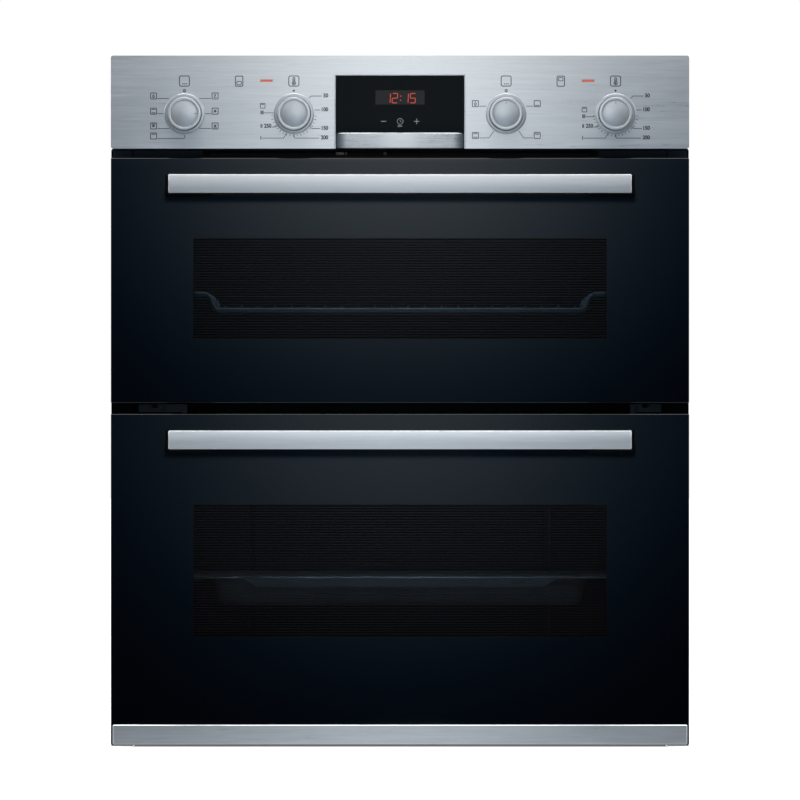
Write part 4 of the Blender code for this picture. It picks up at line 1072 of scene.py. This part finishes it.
def make_hinge_brackets():
    """The bent plates that the top door's hinges hook into, seen in the gap between the doors."""
    gap_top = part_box("top_outer_glass")[0].z
    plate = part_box("top_cavity")[0].y - 2.3 * MM
    front, z = plate - 20 * MM, (gap_top - 9.4 * MM, gap_top - 1.3 * MM)
    for side, sign in SIDES:
        shape = bmesh.new()
        first = 219 if sign < 0 else 237
        for near, far, low, high in (
            (first, 249, z[0], z[1]), (249, 257, z[0], z[1] - 3.6 * MM), (257, 269, z[0], z[1]),
            (first, first + 5, z[0] - 1.2 * MM, z[0]),
        ):
            add_box(shape, mirrored(sign, near * MM, far * MM), (front, front + 1.2 * MM), (low, high))
        for near in (first, 267.8):
            x = mirrored(sign, near * MM, (near + 1.2) * MM)
            add_box(shape, x, (front + 1.2 * MM, plate - 0.3 * MM), z)
        add_pan_screw(shape, (sign * 243 * MM, front, (z[0] + z[1]) / 2), 2.2 * MM, (0, -1, 0))
        piece(f"{side}_hinge_bracket", shape, "hinge_black", "body")


def make_outlet_details():
    """Inside the cooling air outlet: the deflector strip, a clip and the screws that hold it. The clip and
    screw are zinc darkened with painted shade of the outlet's recess.
    """
    front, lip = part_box("front_frame")[0].y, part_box("top_outer_glass")[1].z
    strip, span = bmesh.new(), (lip + 0.8 * MM, lip + 5.2 * MM)
    add_box(strip, about(0, 195.5 * MM), (front + 3 * MM, front + 4.4 * MM), span, 0.3 * MM, 2)
    crisp(piece("outlet_deflector", strip, "deflector", "body"))
    fixings = bmesh.new()
    y = front + 2.6 * MM
    for left, right in ((-66, -57.5), (-56.3, -54.6)):
        span = (lip + 3.2 * MM, lip + 6.6 * MM)
        add_box(fixings, (left * MM, right * MM), (y, y + 1 * MM), span, 0.2 * MM, 2)
    add_pan_screw(fixings, (-15.5 * MM, y + 0.6 * MM, lip + 4.9 * MM), 1.9 * MM, (0, -1, 0))
    # The fixings' zinc is darkened to look shaded in the recess: painted shade.
    piece("outlet_fixings", fixings, "dull_zinc", "body")


def make_outlet_plates():
    """The thin plates that cover the crossbar on both sides of the air outlet, coloured dark blue as a painted
    reflection of bluish light.
    """
    face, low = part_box("front_frame")[0].y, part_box("top_outer_glass")[1].z
    for side, sign in SIDES:
        shape = bmesh.new()
        for near, far in ((203.5, 274), (275.2, 295)):
            x, z = mirrored(sign, near * MM, far * MM), (low + 0.4 * MM, low + 7.6 * MM)
            add_box(shape, x, (face - 0.5 * MM, face - 0.1 * MM), z, 0.15 * MM, 1)
        # The plates' dark blue colour is a painted reflection.
        crisp(piece(f"{side}_outlet_plate", shape, "blued", "body"))


def make_pane_border(door, x, z, back):
    """The printed border on the inner pane, over the spans x and z."""
    wide, inset = 20 * MM, 1 * MM
    across = (x[0] + inset, x[1] - inset)
    upright = (z[0] + wide, z[1] - wide)
    border = bmesh.new()
    for span_x, span_z in (
        (across, (z[0] + inset, upright[0])), (across, (upright[1], z[1] - inset)),
        ((across[0], x[0] + wide), upright), ((x[1] - wide, across[1]), upright),
    ):
        add_box(border, span_x, (back, back + 0.08 * MM), span_z)
    piece(f"{door}_pane_border", border, "frit", f"{door}_door")


# The door frame's lip is 8.7 mm deep: its back stands this far behind the pane's back.
FRAME_LIP_DEPTH = 8.7 * MM


def make_inner_pane_details(door):
    """On the door's inside: the inner pane's printed border, its corner clips and the frame's screws."""
    glass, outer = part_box(f"{door}_inner_glass"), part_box(f"{door}_outer_glass")
    x, z, back = (glass[0].x, glass[1].x), (glass[0].z, glass[1].z), glass[1].y
    make_pane_border(door, x, z, back)
    clips, screws = bmesh.new(), bmesh.new()
    tray_back = glass[0].y - 0.3 * MM
    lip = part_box(f"{door}_door_frame")[0].y + FRAME_LIP_DEPTH
    edge = x[1]
    for _, sign in SIDES:
        for height in (z[0] + 22 * MM, z[1] - 20 * MM):
            tab, foot = (mirrored(sign, edge + near * MM, edge + 8.5 * MM) for near in (-5, 1))
            add_box(clips, tab, (back + 0.15 * MM, back + 1.1 * MM), about(height, 8 * MM), 0.3 * MM, 2)
            add_box(clips, foot, (tray_back, back + 0.9 * MM), about(height, 7.6 * MM), 0.3 * MM, 2)
            place = (sign * (edge + 4.6 * MM), back + 1.1 * MM, height)
            add_pan_screw(screws, place, 2.4 * MM, (0, 1, 0))
        for height in (outer[0].z + 62 * MM, outer[1].z - 40 * MM):
            add_pan_screw(screws, (sign * 281 * MM, lip, height), 3 * MM, (0, 1, 0))
    crisp(piece(f"{door}_pane_clips", clips, "hinge_black", f"{door}_door"))
    piece(f"{door}_frame_screws", screws, "zinc", f"{door}_door")


for door in DOORS:
    make_door_pane(door)
    make_inner_pane_details(door)
make_panel_gasket()
make_hinge_brackets()
make_outlet_details()
make_outlet_plates()


# ------------------------------------------------------------------ casing


def add_bead(shape, start, end, out, width=11 * MM, tall=1.6 * MM):
    """Adds a pressed stiffening bead on a face that looks along out: half round, with round ends."""
    start, end, out = Vector(start), Vector(end), Vector(out)
    along = (end - start).normalized()
    across, rings = along.cross(out), []
    stops = [(start, -1, angle) for angle in (10, 32, 60, 90)] + [(end, 1, angle) for angle in (90, 60, 32, 10)]
    for place, side, angle in stops:
        grow = math.sin(math.radians(angle))
        centre = place + along * side * math.cos(math.radians(angle)) * width / 2
        section = [(u * grow * width / 2, v * grow * tall) for u, v in arc((0, 0), 1, 0, 180, 8)]
        rings.append([centre + across * u + out * v for u, v in section])
    skin(shape, rings)


def body_steel(name, shape, smooth=35):
    """A galvanised piece of the casing."""
    return piece(name, shape, "galvanised_steel", "body", smooth=smooth)


def casing_screws(name, places, radius, out):
    """A set of zinc screws that look along out."""
    screws = bmesh.new()
    for place in places:
        add_pan_screw(screws, place, radius, out)
    piece(name, screws, "zinc", "body")


def make_casing_sides():
    """On each side: two bead frames, a folded seam at the rear with its screws, and screws into the base."""
    low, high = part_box("outer_casing")
    for side, sign in SIDES:
        face, out = sign * high.x, (sign, 0, 0)
        beads = bmesh.new()
        for bottom, top in ((0.075, 0.325), (0.375, 0.625)):
            for z in (bottom, top):
                add_bead(beads, (face, low.y + 60 * MM, z), (face, high.y - 60 * MM, z), out)
            for share in (0.14, 0.38, 0.62, 0.86):
                y = low.y + (high.y - low.y) * share
                add_bead(beads, (face, y, bottom + 24 * MM), (face, y, top - 24 * MM), out)
        body_steel(f"{side}_casing_beads", beads)
        seam, x = bmesh.new(), mirrored(sign, high.x + 0.02 * MM, high.x + 0.9 * MM)
        for y in ((high.y - 17 * MM, high.y - 0.2 * MM), (low.y + 0.5 * MM, low.y + 13 * MM)):
            add_box(seam, x, y, (low.z + 2 * MM, high.z - 4 * MM), 0.35 * MM, 2)
        crisp(body_steel(f"{side}_casing_seam", seam))
        places = [(face + sign * 0.9 * MM, high.y - 8.5 * MM, z * MM) for z in (30, 190, 350, 510, 670)]
        places += [(face, y * MM, 8 * MM) for y in (-190, 0, 190)]
        casing_screws(f"{side}_casing_screws", places, 3.2 * MM, out)


def make_casing_top():
    """Beads across the roof, raised hoods behind the louvres and screws along the rear edge."""
    low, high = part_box("outer_casing")
    roof, up = high.z, (0, 0, 1)
    beads, hoods = bmesh.new(), bmesh.new()
    front, back = low.y + 60 * MM, high.y - 50 * MM
    for x in (-235, -190, -50, 0, 50, 190, 235):
        add_bead(beads, (x * MM, front, roof), (x * MM, back, roof), up)
    for x in (-120, 120):
        add_bead(beads, (x * MM, front, roof), (x * MM, -10 * MM, roof), up)
        add_bead(beads, (x * MM, 150 * MM, roof), (x * MM, back, roof), up)
        for number in range(8):
            y = (30 + 12 * number + 5.4) * MM
            add_bead(hoods, ((x - 27) * MM, y, roof), ((x + 27) * MM, y, roof), up, 2.6 * MM, 1.6 * MM)
    body_steel("roof_beads", beads)
    body_steel("roof_louvre_hoods", hoods)
    places = [(x * MM, high.y - 9 * MM, roof) for x in (-250, -125, 0, 125, 250)]
    casing_screws("roof_screws", places, 3.2 * MM, up)


def make_rear_details():
    """The rear cover's beads and screws, the pressed dome over the fan's motor and a blank rating plate."""
    low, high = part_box("rear_cover")
    face, out = high.y, (0, 1, 0)
    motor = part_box("convection_motor")
    middle = Vector((0, face, (motor[0].z + motor[1].z) / 2))
    beads = bmesh.new()
    for x, bottom, top in ((-235, 50, 560), (-150, 50, 560), (150, 50, 520), (235, 50, 520)):
        add_bead(beads, (x * MM, face, bottom * MM), (x * MM, face, top * MM), out, 13 * MM, 2 * MM)
    for left, right, heights in ((-95, 95, (320, 380, 440, 500)), (-60, 130, (590, 650))):
        for z in heights:
            add_bead(beads, (left * MM, face, z * MM), (right * MM, face, z * MM), out, 13 * MM, 2 * MM)
    dome = in_mm((0, 6), (30, 6), (36, 5.2), (40, 2.6), (44, 0.6), (47, 0), (0, 0))
    add_lathe(beads, dome, middle, out, 64)
    body_steel("rear_beads", beads, 25)
    screws = bmesh.new()
    places = [(x, face, z * MM) for x in (low.x + 9 * MM, high.x - 9 * MM) for z in (25, 185, 345, 505, 665)]
    places += [(x * MM, face, z) for x in (-180, -60, 60, 180) for z in (low.z + 9 * MM, high.z - 9 * MM)]
    for place in places:
        add_pan_screw(screws, place, 3.2 * MM, out)
    for x, z in arc((middle.x, middle.z), 55 * MM, 45, 315, 3):
        add_pan_screw(screws, (x, face, z), 2.8 * MM, out)
    piece("rear_screws", screws, "zinc", "body")
    plate = add_box(bmesh.new(), about(0, 50 * MM), (face, face + 0.3 * MM), (530 * MM, 568 * MM), 0.1 * MM, 1)
    crisp(piece("rating_plate", plate, "label", "body"))


def make_terminal_details():
    """The terminal box's lid with its ribs and screws, and the gland that the cable passes through."""
    low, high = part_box("terminal_cover")
    lid, back = bmesh.new(), high.y
    # Each box of the lid: its inset from the sides, its y and z spans, and its edge radius.
    boxes = [(4, (-0.2, 0.8), (low.z + 4 * MM, high.z - 4 * MM), 0.5)]
    boxes += [(12, (0.7, 1.6), about(low.z + (18 + 7 * number) * MM, 1.2 * MM), 0.4) for number in range(5)]
    for inset, (near, far), z, edge in boxes:
        x = (low.x + inset * MM, high.x - inset * MM)
        add_box(lid, x, (back + near * MM, back + far * MM), z, edge * MM, 2)
    gland = in_mm((5.2, -1), (5.2, 6), (6.4, 6), (7.2, 5), (7.2, 0.2), (7.2, -1))
    centre = ((low.x + high.x) / 2, (low.y + high.y) / 2, low.z)
    add_lathe(lid, gland, centre, (0, 0, -1), 32, cyclic=True)
    crisp(piece("terminal_lid", lid, "black_plastic", "body"))
    places = [(x, back + 0.8 * MM, high.z - 10 * MM) for x in (low.x + 8 * MM, high.x - 8 * MM)]
    casing_screws("terminal_screws", places, 2.8 * MM, (0, 1, 0))


make_casing_sides()
make_casing_top()
make_rear_details()
make_terminal_details()


# ------------------------------------------------------------------ shelf, pan and racks


def add_bar(shape, path, half, corner):
    """Adds a square bar with rounded edges along a path that keeps to one plane of constant y."""
    path = [Vector(point) for point in path]
    section = round_corners(about(0, half), about(0, half), corner, 3)
    rings, front = [], Vector((0, -1, 0))
    for point, along in zip(path, directions(path)):
        across = along.cross(front)
        rings.append([point + front * u + across * v for u, v in section])
    skin(shape, rings)


def make_wire_shelf():
    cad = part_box("wire_shelf")
    bar, wire = 2.7 * MM, 1.35 * MM
    x, y = (cad[0].x + bar, cad[1].x - bar), (cad[0].y + bar, cad[1].y - bar)
    high, low = cad[1].z - bar, cad[0].z + bar
    floor_half, rise = 192 * MM, 4.5 * MM
    shape = bmesh.new()
    for at in (y[0], (y[0] + y[1]) / 2, y[1]):
        path = [
            (x[0], at, high), (-floor_half - rise, at, high), (-floor_half, at, low),
            (floor_half, at, low), (floor_half + rise, at, high), (x[1], at, high),
        ]
        add_bar(shape, filleted(path, 7 * MM), bar, 0.9 * MM)
    stop = cad[1].z - wire * 1.2
    add_tube(shape, [(-floor_half, y[1] + 0.5 * MM, stop), (floor_half, y[1] + 0.5 * MM, stop)], wire, 12)
    for side in x:
        add_tube(shape, [(side, y[0] - 0.5 * MM, high), (side, y[1] + 0.5 * MM, high)], bar, 14)
    outermost, count = 181 * MM, 22
    for number in range(count):
        at = outermost * (2 * number / (count - 1) - 1)
        height = low + bar + wire * 0.8
        add_tube(shape, [(at, y[0] - 2.4 * MM, height), (at, y[1] + 1 * MM, height)], wire, 10)
    stands_for = ["wire_shelf", "wire_shelf_grid"]
    piece("shelf_wires", shape, "chromed_wire", "wire_shelf", stands_for, 50)


SHEET = 1.2 * MM


def make_pan():
    """A pressed tray: flat rim, round corners and a flat floor."""
    low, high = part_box("universal_pan")
    top, floor = high.z, low.z
    # Loops from the rim's edge down to the floor: half width, insets at front and back, height, corner.
    half = high.x / MM
    loops = [
        (half, 0, 0, top - 2.4 * MM, 9), (half - 0.1, 0.1, 0.1, top - 0.8 * MM, 9), (half - 1, 1, 1, top, 9),
        (195, 5, 8, top - 0.4 * MM, 26), (192, 8, 10, top - 3 * MM, 26), (189, 11, 13, top - 12 * MM, 20),
        (187, 12, 15, floor + 8 * MM, 16), (185, 13.5, 17, floor + 3.4 * MM, 16),
        (180, 19, 22, floor + SHEET, 14),
    ]
    rings = []
    for wide, front, back, z, corner in loops:
        y = (low.y + front * MM, high.y - back * MM)
        outline = round_corners(about(0, wide * MM), y, corner * MM, 8)
        rings.append([(px, py, z) for px, py in outline])
    shape = skin(bmesh.new(), rings, first=False)
    pan = piece("pan_tray", shape, "pan_enamel", "universal_pan", ["universal_pan"], 60)
    sheet = pan.modifiers.new("sheet", "SOLIDIFY")
    sheet.thickness = SHEET
    sheet.offset = -1
    make_pan_lip(low.y, top)


def make_pan_lip(front, top):
    """The pouring lip under the front rim: its face slopes back to the wall, and its ends sweep in."""
    rings = []
    for step in range(41):
        share = 2 * step / 40 - 1
        x = share * 164 * MM
        end = max(0.0, (abs(share) - 0.90) / 0.10)
        drop = (1 - end * end * (3 - 2 * end)) * 10.6 * MM + 0.6 * MM
        near, far, foot, head = front + 0.6 * MM, front + 11 * MM, top - drop, top - 0.2 * MM
        rings.append([(x, near, head), (x, near + 0.25 * drop, foot), (x, far, foot), (x, far, head)])
    shape = skin(bmesh.new(), rings)
    piece("pan_pouring_lip", shape, "pan_lip", "universal_pan", smooth=30)


def make_rack(side, sign):
    """A side rack of bent wire, hooked to the oven's wall."""
    low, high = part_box(f"main_{side}_rack")
    wire = 2 * MM
    upright = sign * (max(abs(low.x), abs(high.x)) - wire)
    ledge = sign * (min(abs(low.x), abs(high.x)) + wire)
    front, back, foot, head = low.y + wire, high.y - wire, low.z + wire, high.z - wire
    waist = (foot + head) / 2
    loop = ((front, waist), (front, head), (back, head), (back, foot), (front, foot), (front, waist - 1 * MM))
    shape = add_tube(bmesh.new(), filleted([(upright, *point) for point in loop], 12 * MM), wire)
    middle = (front + back) / 2
    add_tube(shape, [(upright, middle, foot), (upright, middle, head)], wire)
    for level in (84, 126, 168, 210, 252):
        path = ((upright, front), (ledge, front + 9 * MM), (ledge, back - 9 * MM), (upright, back))
        add_tube(shape, filleted([(*point, level * MM) for point in path], 6 * MM), wire * 0.95)
    name = f"main_{side}_rack"
    piece(f"{name}_wires", shape, "chromed_wire", "body", [name], 50)


make_wire_shelf()
make_pan()
for side, sign in SIDES:
    make_rack(side, sign)


# ------------------------------------------------------------------ lights and stage


def stage_object(name, shape, material):
    mesh = bpy.data.meshes.new(name)
    shape.to_mesh(mesh)
    shape.free()
    mesh.materials.append(material)
    obj = put_in_scene(name, mesh)
    return obj


def make_floor():
    """A white floor that melts into the white background."""
    look = Look("floor_paint", Roughness=0.9, Base_Color=(0.9, 0.9, 0.9))
    look.feed(Emission_Color=(1, 1, 1), Emission_Strength=0.55)
    shape = bmesh.new()
    bmesh.ops.create_grid(shape, x_segments=1, y_segments=1, size=30)
    stage_object("floor", shape, look.material).visible_glossy = False


def make_world():
    """White to the camera; to everything else a soft studio, brighter above."""
    world = bpy.data.worlds.new("studio")
    bpy.context.scene.world = world
    world.use_nodes = True
    world.node_tree.nodes.clear()
    nodes = Nodes(world.node_tree)
    direction = nodes.add("TexCoord").outputs["Generated"]
    up = nodes.add("SeparateXYZ", {"Vector": direction}).outputs[2]
    height = nodes.add("MapRange", {"Value": up, "From Min": -1.0, "From Max": 1.0}).outputs[0]
    tone = nodes.ramp(height, (0.0, 0.75), (0.45, 0.62), (0.55, 0.5), (0.75, 0.9), (1.0, 1.15))
    studio = nodes.add("Background", {"Color": tone, "Strength": 1.0})
    white = nodes.add("Background", {"Color": (1, 1, 1), "Strength": 1.02})
    to_camera = nodes.add("LightPath").outputs["Is Camera Ray"]
    mixed = nodes.add("MixShader", {"Fac": to_camera, 1: studio.outputs[0], 2: white.outputs[0]})
    nodes.add("OutputWorld", {0: mixed.outputs[0]})


CARD_AWAY = 0.8
# How much larger things are on the card than on the oven's front where it mirrors them.
CARD_SCALE = 1 + CARD_AWAY / CAMERA_DISTANCE


def on_card(height):
    """Where the card's reflection is seen at a given height of the oven's front."""
    eye = bpy.context.scene.camera.location.z
    return eye + (height - eye) * CARD_SCALE


def handle_shade(nodes, x, z):
    """Dark strips on the card, which the glass shows as the shade under each handle."""
    light = 1.0
    for door in DOORS:
        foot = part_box(f"{door}_handle_bar")[0].z - HANDLE_SAG[door]
        wide = nodes.inside(x, -1.067 * 242 * MM, 1.067 * 242 * MM, 2 * MM)
        tall = nodes.inside(z, on_card(foot - 8.2 * MM), on_card(foot + 4 * MM), 4 * MM)
        light = nodes.times(light, nodes.line(nodes.times(wide, tall), -0.83, 1.0))
    return light


def door_light(nodes, x, z, top_edge):
    """The light that the glass shows: a soft halo near the top of each door."""
    main_edge = on_card(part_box("main_outer_glass")[1].z)
    upper = nodes.times(nodes.bell(z, top_edge + 0.085, 0.250), 1.16)
    lower = nodes.times(nodes.bell(z, main_edge + 0.085, 0.250), 0.76)
    split = nodes.step_up(z, main_edge + 0.003, 0.004)
    halo = nodes.bell(x, 0.0, 0.22 * CARD_SCALE)
    return nodes.times(nodes.choose(split, lower, upper), halo, handle_shade(nodes, x, z))


def steel_light(nodes, x, z, below):
    """The light that the steel shows, on the panel, over it and, where below is 1, under the doors."""
    wide = nodes.bell(x, 0.0, 0.177 * CARD_SCALE)
    rise = nodes.step_up(z, on_card(FASCIA[0].z), 0.070)
    panel = nodes.times(nodes.line(wide, 1.95, 0.08), nodes.line(rise, -0.60, 1.60))
    # A narrow strip at the height of the bar under the display, bright only in the middle.
    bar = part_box("display_trim")
    in_bar = nodes.inside(z, on_card(bar[0].z - 2 * MM), on_card(bar[1].z + 2 * MM), 3 * MM)
    away = nodes.step_up(nodes.math("ABSOLUTE", x), 0.006, 0.028)
    panel = nodes.choose(in_bar, panel, nodes.line(away, -0.90, 1.00))
    sky = nodes.line(nodes.bell(x, 0.0, 0.25), 0.26, 0.62)
    panel = nodes.choose(nodes.step_up(z, on_card(FASCIA[1].z), 0.12), panel, sky)
    return nodes.choose(below, panel, nodes.line(wide, 0.62, 0.34))


def make_reflection_card():
    """A softbox with a drawn gradient in front of the oven. Only reflections see it."""
    material = bpy.data.materials.new("card_gradient")
    material.use_nodes = True
    material.node_tree.nodes.clear()
    nodes = Nodes(material.node_tree)
    x, _, z = nodes.split_place()
    top_edge = on_card(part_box("top_outer_glass")[1].z)
    foot = on_card(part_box("main_door_trim")[1].z)
    above = nodes.step_up(z, top_edge - 0.004, 0.014)
    below = nodes.line(nodes.step_up(z, foot - 0.004, 0.004), -1.0, 1.0)
    doors, steel = door_light(nodes, x, z, top_edge), steel_light(nodes, x, z, below)
    doors_tint = nodes.ramp(
        doors, (0.0, (0.33, 0.88, 2.1)), (0.12, (0.50, 1.0, 1.55)), (0.33, (0.70, 1.0, 1.29)),
        (0.6, (0.80, 1.0, 1.20)), (1.0, (0.88, 1.0, 1.16)),
    )
    steel_tint = nodes.ramp(steel, (0.35, (0.92, 1.0, 1.08)), (1.0, (1.0, 1.0, 1.0)))
    share = nodes.math("MAXIMUM", above, below)
    level, tint = nodes.choose(share, doors, steel), nodes.blend(share, doors_tint, steel_tint)
    light = nodes.add("Emission", {"Color": tint, "Strength": level})
    nodes.add("OutputMaterial", {"Surface": light.outputs[0]})
    front = FRONT_Y - CARD_AWAY
    shape = add_box(bmesh.new(), (-1.4, 1.4), (front - 0.01, front), (-0.9, 2.2))
    card = stage_object("reflection_card", shape, material)
    for kind in ("camera", "diffuse", "shadow", "transmission", "volume_scatter"):
        setattr(card, f"visible_{kind}", False)


def area_light(name, place, target, size, power):
    data = bpy.data.lights.new(name, "AREA")
    data.shape = "RECTANGLE"
    data.size, data.size_y = size
    data.energy = power
    light = put_in_scene(name, data)
    light.location = place
    light.rotation_euler = (Vector(target) - Vector(place)).to_track_quat("-Z", "Y").to_euler()
    return light


def make_lights():
    middle = (0, -0.2, 0.4)
    area_light("top_softbox", (0, -0.9, 3.0), middle, (2.4, 1.6), 60)
    for side, sign in SIDES:
        area_light(f"{side}_softbox", (3.0 * sign, -0.6, 1.6), middle, (1.2, 2.0), 22)
    area_light("rear_softbox", (0, 3.2, 2.0), middle, (2.4, 1.6), 30)
    for oven, power in (("top", 0.05), ("main", 0.30)):
        low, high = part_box(f"{oven}_cavity")
        place = (0, low.y + 4 * MM, high.z - 0.02)
        light = area_light(f"{oven}_oven_glow", place, (0, low.y + 0.06, low.z), (0.26, 0.008), power)
        light.data.color = (0.80, 0.92, 1.0)
        light.visible_glossy = False


make_floor()
make_world()
make_reflection_card()
make_lights()
bpy.context.scene.view_settings.view_transform = "Standard"
